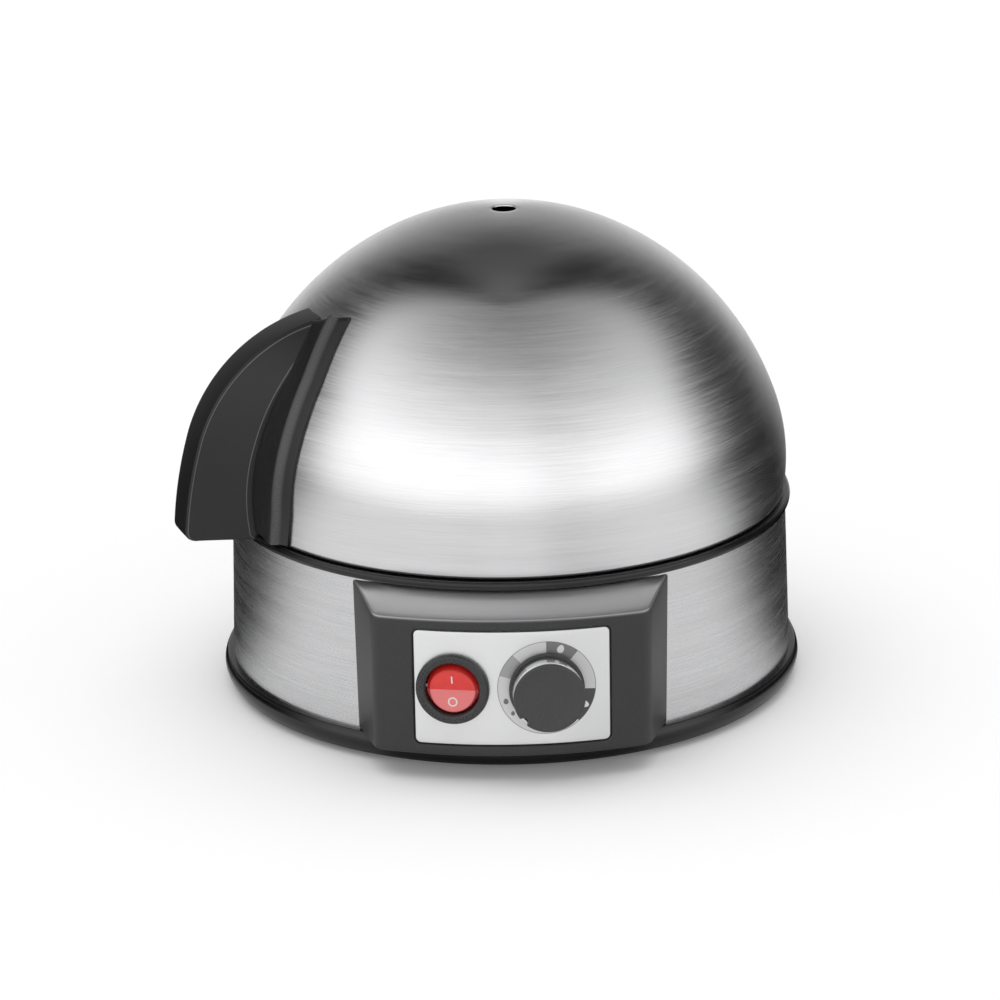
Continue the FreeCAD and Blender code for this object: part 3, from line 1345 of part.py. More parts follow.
def block_screw_x():
    """The terminal block's screws, in its two ends."""
    return [side * (BLOCK_L / 2 - BLOCK_HEAD_R - BLOCK_HEAD_H / 2) for side in (-1, 1)]


def terminal_block():
    """Four-way connection block on the base plate, with a way for each pole's sleeve."""
    half_l = BLOCK_L / 2
    half_w = BLOCK_W / 2
    top = PLATE_TOP + BLOCK_H
    body = block(-half_l, half_l, BLOCK_Y - half_w, BLOCK_Y + half_w, PLATE_TOP, top)
    tools = [pole_rod(x, BLOCK_WAY_R, OVERRUN) for x in pole_x()]
    for x in block_screw_x():
        tools.append(rod(BLOCK_SCREW_R + HOLE_GAP, PLATE_TOP - OVERRUN, top + OVERRUN, V(x, BLOCK_Y, 0)))
    return body.cut(tools)


def pole_x():
    first = -(BLOCK_POLES - 1) / 2
    return [(first + k) * BLOCK_POLE_PITCH for k in range(BLOCK_POLES)]


def pole_rod(x, radius, past):
    """Rod along a pole's way, longer than the block by past at each end."""
    start = V(x, BLOCK_Y - BLOCK_W / 2 - past, PLATE_TOP + BLOCK_H / 2)
    return Part.makeCylinder(radius, BLOCK_W + 2 * past, start, V(0, 1, 0))


def block_sleeves():
    """Brass sleeves of the four poles, each with a bore for its lead."""
    return group([pole_rod(x, BLOCK_WAY_R, 0).cut(pole_rod(x, SLEEVE_BORE_R, OVERRUN)) for x in pole_x()])


def block_screws():
    top = PLATE_TOP + BLOCK_H
    one = screw(BLOCK_SCREW_R, top - FOOT_H, BLOCK_HEAD_R, BLOCK_HEAD_H)
    one.rotate(ORIGIN, V(1, 0, 0), FULL_TURN / 2)
    return group([moved(one, V(x, BLOCK_Y, top)) for x in block_screw_x()])


# Leads


def round_corner(before, corner, after):
    """Start, middle and end of the arc that rounds a route's point, as large as its runs allow."""
    back = before - corner
    on = after - corner
    half_turn = (math.pi - back.getAngle(on)) / 2
    trim = LEAD_TRIM_share * min(back.Length, on.Length)
    radius = trim / math.tan(half_turn)
    back.normalize()
    on.normalize()
    middle = (back + on).normalize() * (radius / math.cos(half_turn) - radius)
    return corner + back * trim, corner + middle, corner + on * trim, radius


def lead(points):
    """Round lead along straight runs that are joined by tangent arcs."""
    edges = []
    here = points[0]
    radii = []
    for before, corner, after in zip(points, points[1:], points[2:]):
        start, middle, end, radius = round_corner(before, corner, after)
        edges += [Part.makeLine(here, start), Part.Arc(start, middle, end).toShape()]
        here = end
        radii.append(round(radius, 1))
    edges.append(Part.makeLine(here, points[-1]))
    path = Part.Wire(edges)
    profile = Part.Wire(Part.makeCircle(LEAD_R, points[0], points[1] - points[0]))
    solid = path.makePipeShell([profile], True, False)
    print("lead radii", radii, "volume share", round(solid.Volume / (math.pi * LEAD_R ** 2 * path.Length), 4))
    return solid


def route(*shares):
    return [V(x * BODY_R, y * BODY_R, z * SHIELD_LOW) for x, y, z in shares]


def from_panel(x, across, depth):
    """End of a lead on a blade behind the panel, and the point where it leaves it."""
    ends = [Part.Vertex(across, 0, -depth), Part.Vertex(across, 0, -depth - LEAD_EXIT)]
    return [vertex.Point for vertex in on_panel(Part.Compound(ends), x).Vertexes]


def from_switch(k):
    return from_panel(SWITCH_X, k * SWITCH_BLADE_PITCH, SWITCH_BODY_DEPTH + SWITCH_BLADE_L)


def from_regulator(side):
    return from_panel(KNOB_X, side * REGULATOR_BLADE_X, regulator_front() + REGULATOR_D + REGULATOR_BLADE_L)


def from_pole(k):
    """Start of a lead in a sleeve of the block, and the point where it leaves it toward the panel."""
    z = PLATE_TOP + BLOCK_H / 2
    face_y = BLOCK_Y - BLOCK_W / 2
    return [V(pole_x()[k], face_y + LEAD_BITE, z), V(pole_x()[k], face_y - LEAD_EXIT, z)]


def from_above(x, y, z):
    return [V(x, y, z), V(x, y, z - LEAD_EXIT)]


def from_pin(side):
    leg = heater_leg(side)
    return from_above(leg.x, leg.y, HEATER_Z - HEATER_BEND_R - HEATER_LEG_H - HEATER_PIN_H)


def from_thermostat(side):
    z = PAN_UNDER - THERMOSTAT_CAP_H - THERMOSTAT_BODY_H - THERMOSTAT_BLADE_H
    return from_above(0, side * THERMOSTAT_BLADE_OFF, z)


def from_fuse(side):
    """From the fuse's end level to a bend over a hole in the heat shield, and down through it."""
    z = PAN_UNDER - FUSE_R
    y = side * FUSE_HOLE_Y
    return [V(FUSE_X, side * FUSE_LENGTH / 2, z), V(FUSE_X, y, z), V(FUSE_X, y, SHIELD_LOW - LEAD_EXIT / 2)]


def from_stud(k):
    spot = stud_spots()[k]
    return from_above(spot.x, spot.y, SHIELD_LOW - STUD_WASHER_T - NUT_H - STUD_TAIL)


def lead_live():
    return lead(from_pole(0) + route(*LIVE_shares) + from_switch(-1)[::-1])


def lead_switched():
    return lead(from_switch(0) + route(*SWITCHED_shares) + from_regulator(-1)[::-1])


def lead_lamp():
    return lead(from_pole(1) + route(*LAMP_shares) + from_switch(1)[::-1])


def lead_thermostat():
    return lead(from_regulator(1) + route(*THERMOSTAT_shares) + from_thermostat(-1)[::-1])


def lead_fuse():
    return lead(from_thermostat(1) + route(*FUSE_shares) + from_fuse(1)[::-1])


def lead_heater():
    return lead(from_fuse(-1) + route(*HEATER_shares) + from_pin(-1)[::-1])


def lead_neutral():
    return lead(from_pin(1) + route(*NEUTRAL_shares) + from_pole(2)[::-1])


def lead_earth():
    return lead(from_pole(3) + route(*EARTH_shares) + from_stud(2)[::-1])


PIECES = [
    lid_dome, lid_handle, handle_screws, handle_washers,
    collar_ring, body_band, base_ring, base_plate, chassis_screws, rubber_feet,
    heating_pan, pan_seal, egg_tray, heat_shield, pan_studs, stud_washers, stud_nuts,
    heater_element, heater_pins, thermostat, thermostat_strap, thermostat_studs, thermostat_nuts,
    thermal_fuse, fuse_clip,
    panel_housing, panel_plate, panel_frame, panel_screws,
    switch_body, switch_rocker, rocker_pin, switch_blades,
    knob_core, knob_sleeve,
    regulator_shaft, regulator_body, regulator_bushing, regulator_nut, regulator_blades,
    cord_bush, terminal_block, block_sleeves, block_screws,
    lead_live, lead_switched, lead_lamp, lead_thermostat, lead_fuse, lead_heater, lead_neutral, lead_earth,
]


def main():
    os.makedirs("parts", exist_ok=True)
    for piece in PIECES:
        shape = piece()
        shape.exportStep("parts/" + piece.__name__ + ".step")
        print(piece.__name__, len(shape.Solids), round(shape.Volume, 1), shape.isValid())


main()
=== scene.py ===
import json
import math

import bmesh
import bpy
from mathutils import Matrix, Vector


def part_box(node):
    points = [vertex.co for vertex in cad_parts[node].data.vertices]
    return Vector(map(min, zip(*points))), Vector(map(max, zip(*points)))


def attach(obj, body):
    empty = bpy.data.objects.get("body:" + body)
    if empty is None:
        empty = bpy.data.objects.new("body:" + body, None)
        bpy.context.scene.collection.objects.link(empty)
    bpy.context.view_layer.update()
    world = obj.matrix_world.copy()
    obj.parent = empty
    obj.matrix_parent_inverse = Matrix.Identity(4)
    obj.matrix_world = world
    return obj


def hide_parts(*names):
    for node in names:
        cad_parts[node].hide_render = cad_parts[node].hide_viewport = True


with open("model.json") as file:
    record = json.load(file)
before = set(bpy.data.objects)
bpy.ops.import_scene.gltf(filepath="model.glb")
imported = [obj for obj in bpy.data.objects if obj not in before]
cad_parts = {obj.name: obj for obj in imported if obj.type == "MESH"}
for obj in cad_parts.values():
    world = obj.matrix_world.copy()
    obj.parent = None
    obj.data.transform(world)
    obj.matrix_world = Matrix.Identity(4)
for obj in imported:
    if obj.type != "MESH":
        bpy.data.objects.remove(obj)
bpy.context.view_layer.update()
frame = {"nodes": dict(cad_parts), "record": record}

# Metres in a millimetre; lengths below are in millimetres
MM = 0.001
FULL = 2 * math.pi
# Points nearer than this are one point, and a smaller radius than this is a pole
DOUBLES, POLE = 0.002, 1e-6
BLACK, WHITE = (0.0, 0.0, 0.0), (1.0, 1.0, 1.0)

# Heights and radii of the cooker
BAND_LOW = 8.8
BAND_TOP = 58.7
BODY_R = 92.0
BAND_TAPER = 1.5
BAND_WALL = 0.6
LID_Z = 61.7
LID_WALL = 0.6
HEM_H = 4.0
VENT_R = 4.1

# The dome's three arcs
LOW_CENTRE, LOW_R, LOW_END = (29.8, 72.1), 61.0, math.radians(19)
MID_R, MID_END = 96.0, math.radians(63)
MID_CENTRE = (
    LOW_CENTRE[0] + (LOW_R - MID_R) * math.cos(LOW_END),
    LOW_CENTRE[1] + (LOW_R - MID_R) * math.sin(LOW_END),
)
CAP_R = MID_R + MID_CENTRE[0] / math.cos(MID_END)
CAP_CENTRE = (0.0, MID_CENTRE[1] + (MID_R - CAP_R) * math.sin(MID_END))

# Handle
HANDLE_TURN = math.radians(200)
FIN_R = 112.0
FIN_Z = 59.8
FIN_H = 70.0
FIN_HALF, FIN_ROOT_HALF = 6.5, 13.0
SADDLE_HALF = math.radians(21.5)
SADDLE_TOP = math.radians(45.6)
SADDLE_FAR_TOP = math.radians(31.0)
SADDLE_T = 3.6

# Panel
FACE_R, FACE_Y = 120.0, 16.0
PANEL_HALF, PANEL_ROOT_Y = 48.3, -78.3
PANEL_FRONT_HALF, PANEL_FRONT_Y = 42.6, -96.2
PANEL_CORNER = 5.0
PANEL_TOP = 57.5
HOUSING_BACK_R = 89.6
HOUSING_HIGH = 58.6
HOUSING_WALL = 2.6
BEVEL_SLOPE = 1 / 3
INLAY_HALF, INLAY_LOW, INLAY_HIGH, INLAY_CORNER = 30.1, 12.7, 49.7, 1.6
INLAY_R, RECESS_R = 119.8, 119.0
INLAY_MIDDLE = (INLAY_LOW + INLAY_HIGH) / 2
CONTROL_Z = 31.2
SWITCH_X, KNOB_X = -18.3, 10.6
# Middle of the dial's print along the plate, and the radius of its marks
DIAL_X, PRINT_R = 10.615, 13.25
# Ball of the rocker's sides
BALL_R, BALL_DROP = 8.3, 2.2

# Feet and chassis screws
FEET_R, FEET_TURN = 70.0, 22.5
SCREWS_R, SCREWS_TURN = 80.0, 45.0


def dome_point(angle, off=0.0):
    """Point (radius, height) of the dome's line where its normal rises by angle, moved out by off."""
    if angle <= LOW_END:
        centre, radius = LOW_CENTRE, LOW_R
    elif angle <= MID_END:
        centre, radius = MID_CENTRE, MID_R
    else:
        centre, radius = CAP_CENTRE, CAP_R
    return (centre[0] + (radius + off) * math.cos(angle), centre[1] + (radius + off) * math.sin(angle))


def dome_angle(z, off=0.0):
    """The angle at which the dome's line is at a height."""
    if z <= dome_point(LOW_END, off)[1]:
        return math.asin((z - LOW_CENTRE[1]) / (LOW_R + off))
    return math.asin((z - MID_CENTRE[1]) / (MID_R + off))


def dome_r(z, off=0.0):
    """Radius of the dome at a height."""
    return dome_point(dome_angle(z, off), off)[0]


def band_r(z):
    """Outer radius of the tapered band."""
    return BODY_R - BAND_TAPER * (z - BAND_LOW) / (BAND_TOP - BAND_LOW)


def arc(centre, radius, first, last, count):
    """Points of an arc from one angle to another, in degrees, both ends included."""
    spokes = [polar(radius, first + (last - first) * k / count) for k in range(count + 1)]
    return [(centre[0] + x, centre[1] + y) for x, y in spokes]


def polar(radius, degrees):
    """Point at a radius and an angle in degrees."""
    return radius * math.cos(math.radians(degrees)), radius * math.sin(math.radians(degrees))


def normals(line, inside):
    """Normals of an open line at its points, turned away from an inside point."""
    found = []
    for k, (x, y) in enumerate(line):
        before, after = line[max(0, k - 1)], line[min(len(line) - 1, k + 1)]
        nx, ny = after[1] - before[1], before[0] - after[0]
        size = math.copysign(math.hypot(nx, ny), nx * (x - inside[0]) + ny * (y - inside[1]))
        found.append((nx / size, ny / size))
    return found


def eased(share):
    """Share kept within 0..1, with a soft start and end."""
    share = min(1.0, max(0.0, share))
    return share * share * (3 - 2 * share)


# Meshes


class Skin:
    """Points, faces and each point's place on the surface (across, along), in millimetres."""

    def __init__(self):
        self.points = []
        self.faces = []
        self.spots = []

    def point(self, place, spot=(0.0, 0.0)):
        self.points.append(place)
        self.spots.append(spot)
        return len(self.points) - 1

    def row(self, places, spots=None):
        spots = spots or [(0.0, 0.0)] * len(places)
        return [self.point(place, spot) for place, spot in zip(places, spots)]

    def strip(self, low, high, closed=True):
        """Faces between two rows of equal count."""
        count = len(low)
        for k in range(count if closed else count - 1):
            after = (k + 1) % count
            self.faces.append((low[k], low[after], high[after], high[k]))

    def strips(self, rows, closed=True):
        for low, high in zip(rows, rows[1:]):
            self.strip(low, high, closed)

    def fan(self, row, tip, flip=False):
        for k, here in enumerate(row):
            after = row[(k + 1) % len(row)]
            self.faces.append((after, here, tip) if flip else (here, after, tip))

    def cap(self, row):
        self.faces.append(tuple(row))


def shell(skin, outside, inside):
    """Two open sheets of rows joined round their edges."""
    skin.strips(outside, closed=False)
    skin.strips(inside[::-1], closed=False)
    skin.strip(inside[0], outside[0], closed=False)
    skin.strip(outside[-1], inside[-1], closed=False)
    for end in (0, -1):
        skin.strip([row[end] for row in outside], [row[end] for row in inside], closed=False)


def turned(skin, line, count, radius_at=None, closed=True):
    """Turns a line of (radius, height) about the upright axis; a radius of nought is a pole."""
    rows = []
    length = 0.0
    for k, (radius, height) in enumerate(line):
        if k:
            length += math.dist(line[k - 1], line[k])
        if radius < POLE:
            rows.append(skin.point((0.0, 0.0, height), (0.0, length)))
            continue
        places = []
        for n in range(count):
            turn = FULL * n / count
            here = radius_at(radius, height, turn) if radius_at else radius
            places.append((here * math.cos(turn), here * math.sin(turn), height))
        rows.append(skin.row(places, [(FULL * n / count, length) for n in range(count)]))
    pairs = list(zip(rows, rows[1:]))
    if closed and not isinstance(rows[0], int) and not isinstance(rows[-1], int):
        pairs.append((rows[-1], rows[0]))
    for low, high in pairs:
        if isinstance(low, int) and isinstance(high, int):
            continue
        if isinstance(high, int):
            skin.fan(low, high)
        elif isinstance(low, int):
            skin.fan(high, low, True)
        else:
            skin.strip(low, high)
    return skin


def added(name, data):
    """New object in the scene."""
    thing = bpy.data.objects.new(name, data)
    bpy.context.scene.collection.objects.link(thing)
    return thing


def welded(mesh, outward=False):
    """Merges a mesh's doubles, and turns its faces outward if asked."""
    work = bmesh.new()
    work.from_mesh(mesh)
    bmesh.ops.remove_doubles(work, verts=work.verts, dist=DOUBLES * MM)
    if outward:
        bmesh.ops.recalc_face_normals(work, faces=work.faces)
    work.to_mesh(mesh)
    work.free()


def finished(name, skin, slot_name, crease=32.0, place=None):
    """Object from a skin in one of the finishes: faces outward, smooth but for its sharp edges."""
    mesh = bpy.data.meshes.new(name)
    move = place or Matrix.Identity(4)
    mesh.from_pydata([tuple(move @ Vector(p) * MM) for p in skin.points], [], skin.faces)
    layer = mesh.uv_layers.new(name="surface")
    for loop in mesh.loops:
        layer.data[loop.index].uv = skin.spots[loop.vertex_index]
    welded(mesh, True)
    smooth(mesh, crease)
    mesh.materials.append(FINISHES[slot_name])
    return added(name, mesh)


def lathed(name, line, count, slot_name, crease, place=None, radius_at=None, closed=True):
    """Object turned from one line."""
    return finished(name, turned(Skin(), line, count, radius_at, closed), slot_name, crease, place)


def smooth(mesh, crease):
    """Smooth shading, but for edges sharper than the crease in degrees."""
    mesh.shade_smooth()
    mesh.set_sharp_from_angle(angle=math.radians(crease))


def settled(thing, crease):
    """Turns what the modifiers give into the plain mesh of the piece."""
    bpy.context.view_layer.update()
    shown = thing.evaluated_get(bpy.context.evaluated_depsgraph_get())
    mesh = bpy.data.meshes.new_from_object(shown)
    thing.modifiers.clear()
    thing.data = mesh
    smooth(mesh, crease)
    return thing


def cut(thing, tools, crease):
    """Takes the tools' space out of a piece."""
    for tool in tools:
        step = thing.modifiers.new("cut", "BOOLEAN")
        step.operation = "DIFFERENCE"
        step.solver = "EXACT"
        step.object = tool
    settled(thing, crease)
    for tool in tools:
        bpy.data.objects.remove(tool)
    return thing


def fitted(thing, body, node):
    """Puts a piece on its body in place of its CAD node, with its finish."""
    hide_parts(node)
    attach(thing, body)
    return thing


def merged(node, name, body, slot_name, crease=30.0):
    """Copy of a CAD node with its triangles joined and its round faces smooth."""
    mesh = frame["nodes"][node].data.copy()
    welded(mesh)
    mesh.materials.clear()
    mesh.materials.append(FINISHES[slot_name])
    if mesh.has_custom_normals:
        mesh.attributes.remove(mesh.attributes["custom_normal"])
    smooth(mesh, crease)
    return fitted(added(name, mesh), body, node)


def placed(right, up, out, origin):
    """Matrix from its three directions and its origin."""
    place = Matrix.Identity(4)
    for column, vector in enumerate((right, up, out, origin)):
        place.col[column][:3] = vector
    return place


def on_panel(x):
    """Place of a control on the plate: X right, Y up, Z out of the plate."""
    turn = math.asin(x / FACE_R)
    out = Vector((math.sin(turn), -math.cos(turn), 0))
    origin = Vector((0, FACE_Y, CONTROL_Z)) + out * INLAY_R
    return placed((math.cos(turn), math.sin(turn), 0), (0, 0, 1), out, origin)


# Finishes


def feed(tree, socket, value):
    """Links a Signal to a socket or sets its value; a colour of three is solid."""
    if isinstance(value, Signal):
        tree.links.new(value.socket, socket)
    elif isinstance(value, tuple) and len(value) == 3 and len(socket.default_value) == 4:
        socket.default_value = (*value, 1.0)
    else:
        socket.default_value = value


def summed(operation, swapped=False):
    """Method of a Signal for a sum; swapped where the Signal stands on the right."""
    def method(self, other):
        return self.math(operation, *((other, self) if swapped else (self, other)))
    return method


class Signal:
    """A node's output that takes part in sums."""

    def __init__(self, tree, socket=None):
        self.tree, self.socket = tree, socket

    def node(self, kind, settings=None, inputs=None, output=0):
        """Any node: its settings first, then its sockets' values or links."""
        made = self.tree.nodes.new(kind)
        for key, value in (settings or {}).items():
            if key == "stops":
                ramp = made.color_ramp.elements
                while len(ramp) < len(value):
                    ramp.new(1.0)
                for element, (place, level) in zip(ramp, value):
                    element.position = place
                    element.color = (level, level, level, 1.0)
            else:
                setattr(made, key, value)
        for key, value in (inputs or {}).items():
            feed(self.tree, made.inputs[key], value)
        return Signal(self.tree, made.outputs[output])

    def math(self, operation, *values):
        return self.node("ShaderNodeMath", {"operation": operation}, dict(enumerate(values)))

    __add__, __radd__ = summed("ADD"), summed("ADD", True)
    __sub__, __rsub__ = summed("SUBTRACT"), summed("SUBTRACT", True)
    __mul__, __truediv__ = summed("MULTIPLY"), summed("DIVIDE")
    __lt__, __gt__ = summed("LESS_THAN"), summed("GREATER_THAN")


def clipped(value):
    """Value kept within 0..1."""
    return value.node("ShaderNodeMath", {"operation": "MULTIPLY", "use_clamp": True}, {0: value, 1: 1.0})


def reach(*values):
    """Length of the line whose sides are the values."""
    squares = values[0] * values[0]
    for value in values[1:]:
        squares = squares + value * value
    return squares.math("SQRT", squares)


def soft_step(value, low, high):
    """0 below low, 1 above high, smooth between."""
    inputs = {"Value": value, "From Min": low, "From Max": high, "To Min": 0.0, "To Max": 1.0}
    return value.node("ShaderNodeMapRange", {"interpolation_type": "SMOOTHSTEP"}, inputs)


def blended(share, first, second):
    """Colour between two colours."""
    return share.node("ShaderNodeMix", {"data_type": "RGBA"}, {0: share, 6: first, 7: second}, 2)


def noise(where, scale, detail=2.0, rough=0.5):
    """Noise around 0.5 at a place."""
    inputs = {"Vector": where, "Scale": scale, "Detail": detail, "Roughness": rough}
    return where.node("ShaderNodeTexNoise", {}, inputs)


def spread(low, high, value):
    """Noise value stretched from its middle range to low..high."""
    inputs = {"Value": value, "From Min": 0.3, "From Max": 0.7, "To Min": low, "To Max": high}
    return value.node("ShaderNodeMapRange", {}, inputs)


class Finish:
    """A material with one Principled shader."""

    def __init__(self, name):
        self.material = bpy.data.materials.new(name)
        self.material.use_nodes = True
        self.tree = self.material.node_tree
        self.shader = self.tree.nodes["Principled BSDF"]
        self.node = Signal(self.tree).node

    def where(self):
        """Place in the piece's own axes, in metres."""
        return self.node("ShaderNodeTexCoord", {}, {}, 3)

    def surface(self):
        """Place on the piece's own surface as two Signals, in millimetres or radians."""
        return self.axes(self.node("ShaderNodeUVMap", {"uv_map": "surface"}))[:2]

    def axes(self, vector):
        split = self.node("ShaderNodeSeparateXYZ", {}, {0: vector}).socket.node
        return [Signal(self.tree, out) for out in split.outputs]

    def joined(self, x, y, z):
        return self.node("ShaderNodeCombineXYZ", {}, {"X": x, "Y": y, "Z": z})

    def set(self, **values):
        for key, value in values.items():
            feed(self.tree, self.shader.inputs[key.replace("_", " ")], value)

    def bump(self, height, depth, strength=1.0):
        """Last step of a finish: fine height, in metres. Gives the material."""
        inputs = {"Height": height, "Distance": depth, "Strength": strength}
        self.set(Normal=self.node("ShaderNodeBump", {}, inputs))
        return self.material


def brushed(name, base, rough, anisotropy, contrast):
    """Steel brushed round an upright axis: fine lines that run round the piece."""
    finish = Finish(name)
    x, y, _ = finish.axes(finish.where())
    radius = reach(x, y)
    along = finish.surface()[1]
    parts = []
    # Scale of the pattern round and along the piece, its detail and roughness, and how much it counts
    layers = ((2.2, 1.9, 3.0, 0.7, 0.5), (9.0, 5.5, 1.0, 0.5, 0.35), (1.2, 0.22, 1.0, 0.5, 0.3))
    for round_it, along_it, detail, rough_it, share in layers:
        place = finish.joined(x / radius * round_it, y / radius * round_it, along * along_it)
        parts.append(spread(-share, share, noise(place, 1.0, detail, rough_it)))
    lines = parts[0] + parts[1] + parts[2]
    most = 1.4
    colour = blended((1.0 + lines * contrast) / most, BLACK, tuple(c * most for c in base))
    finish.set(Base_Color=colour, Metallic=1.0, Roughness=rough + lines * 0.05, Anisotropic=anisotropy)
    return finish.bump(lines, 0.000003, 0.5)


def grained(where, grain, speckle, cloud_size=35.0, cloudy=0.08):
    """Fine grain and broad clouds of a moulding, and the share of its lighter shade."""
    grit = noise(where, grain, 2.0, 0.6)
    cloud = noise(where, cloud_size, 2.0)
    return grit, cloud, spread(0.5 - speckle, 0.5 + speckle, grit) + spread(-cloudy, cloudy, cloud)


def moulded(name, colour, rough, speckle=0.12, grain=1400.0, relief=0.00002, level=0.5):
    """Moulded plastic: an even colour with fine grain in its shade, gloss and height."""
    finish = Finish(name)
    grit, cloud, share = grained(finish.where(), grain, speckle)
    light = tuple(min(1.0, c * 1.9 + 0.004) for c in colour)
    finish.set(Base_Color=blended(share, tuple(c * 0.1 for c in colour), light))
    rough = rough + spread(-0.05, 0.05, grit) + spread(-0.03, 0.03, cloud)
    finish.set(Roughness=rough, Specular_IOR_Level=level)
    return finish.bump(grit, relief)


def handle_plastic():
    """Black moulding with painted highlights: thin bright lines along the fin's beads and root, and a
    softer one along the saddle's crest.
    """
    finish = Finish("handle_black")
    gap, kind = finish.surface()
    grit, cloud, share = grained(finish.where(), 1700.0, 0.1, 35.0, 0.1)
    colour = blended(share, (0.004, 0.004, 0.0045), (0.024, 0.024, 0.026))
    # Painted highlight: thin bright line where the fin's surface coordinate lies near the middle of a
    # bead or at the root
    line = (1.0 - soft_step(gap, 0.05, 0.24)) * (1.0 - kind)
    # Painted highlight: soft lighter band along the saddle's steep crest, which is also made a little
    # glossier
    crest = (1.0 - soft_step(gap, 0.1, 1.9)) * kind
    colour = blended(crest * 0.5, colour, (0.15, 0.15, 0.152))
    colour = blended(line * spread(0.5, 0.75, cloud), colour, (0.19, 0.19, 0.193))
    rough = 0.38 + spread(-0.04, 0.04, grit) - crest * 0.1
    finish.set(Base_Color=colour, Roughness=rough, Specular_IOR_Level=0.42)
    return finish.bump(grit, 0.000005)


def housing_plastic():
    """Grained black moulding; the smooth sloping top has a satin grey finish, and the rounded edge below
    it a painted highlight line.
    """
    finish = Finish("panel_black")
    where = finish.where()
    x, y, z = finish.axes(where)
    radius = reach(x, y)
    lift = z * 1000.0 - PANEL_TOP + (radius * 1000.0 - BODY_R) * BEVEL_SLOPE
    slope = soft_step(lift, -0.42, -0.12)
    # Painted highlight: a lighter grey line on the rounded edge just below the sloping top
    rim = soft_step(lift, -0.62, -0.45) * (1.0 - slope)
    grit, cloud, share = grained(where, 2300.0, 0.12, 30.0)
    colour = blended(share, (0.018, 0.018, 0.018), (0.062, 0.062, 0.063))
    colour = blended(slope, colour, (0.60, 0.60, 0.605))
    # Painted highlight line along the edge below the slope
    colour = blended(rim * 0.7, colour, (0.16, 0.16, 0.16))
    rough = 0.38 + spread(-0.03, 0.03, cloud) - slope * 0.08
    finish.set(Base_Color=colour, Metallic=slope * 0.9, Roughness=rough, Specular_IOR_Level=0.4)
    return finish.bump(grit * (1.0 - slope) + slope * 0.5, 0.000012)


def cast_metal(name, colour, rough, grain=600.0, relief=0.00001):
    """Plain metal parts: small spots of duller and brighter surface."""
    finish = Finish(name)
    where = finish.where()
    grit, cloud = noise(where, grain, 3.0, 0.6), noise(where, 60.0, 2.0)
    share = spread(0.35, 0.65, grit) + spread(-0.15, 0.15, cloud)
    light = tuple(min(1.0, c * 1.12) for c in colour)
    finish.set(Base_Color=blended(share, tuple(c * 0.8 for c in colour), light))
    finish.set(Metallic=1.0, Roughness=rough + spread(-0.06, 0.06, cloud))
    return finish.bump(grit, relief)


def dial_plate():
    """Silver plate with the printed ring of the egg-hardness dial."""
    finish = Finish("plate_silver")
    x, z = finish.surface()
    dx, dz = x - DIAL_X, z - CONTROL_Z
    radius = reach(dx, dz)
    turn = dx.math("ARCTAN2", dx, dz) * (180 / math.pi)
    turn = turn + (turn < 0.0) * 360.0
    ring = clipped(soft_step(radius, 11.3, 11.42) - soft_step(radius, 15.12, 15.24))
    grain = noise(finish.joined(x * 0.25, z * 9.0, z * 0.0), 1.0, 3.0, 0.65)
    grit = noise(finish.where(), 2600.0, 1.0)
    share = spread(0.35, 0.65, grain) + spread(-0.08, 0.08, grit)
    colour = blended(share, (0.86, 0.865, 0.87), (0.95, 0.955, 0.96))

    def mark(angle, long, wide, lean):
        """Small egg-shaped or round print at an angle of the dial's ring."""
        centre_z, centre_x = polar(PRINT_R, angle)
        cos, sin = polar(1.0, lean)
        across = (dx - centre_x) * cos - (dz - centre_z) * sin
        up = (dx - centre_x) * sin + (dz - centre_z) * cos
        u, v = across / (wide - up * (0.18 * wide / long)), up / long
        return 1.0 - soft_step(u * u + v * v, 0.8, 1.2)

    sectors = ((-1.0, 40.0, 0.24), (40.0, 95.0, 0.70), (95.0, 139.5, 0.085),
               (139.5, 286.6, 0.78), (286.6, 317.0, 0.45), (317.0, 361.0, 0.78))
    for low, high, shade in sectors:
        colour = blended((turn > low) * (turn < high) * ring, colour, (shade,) * 3)
    edge = clipped(soft_step(radius, 14.98, 15.05) - soft_step(radius, 15.2, 15.27))
    colour = blended(edge * 0.75, colour, (0.16, 0.16, 0.16))
    marks = ((19.6, 1.35, 1.05, 19.6, 0.86), (118.0, 1.35, 1.05, 118.0, 0.86),
             (232.5, 0.75, 0.6, 0.0, 0.2), (252.0, 0.95, 0.75, 0.0, 0.2))
    for *shape, shade in marks:
        colour = blended(mark(*shape), colour, (shade,) * 3)
    finish.set(Base_Color=colour, Metallic=0.75 - ring * 0.55, Roughness=0.36 + ring * 0.12)
    return finish.bump(grain, 0.000004)


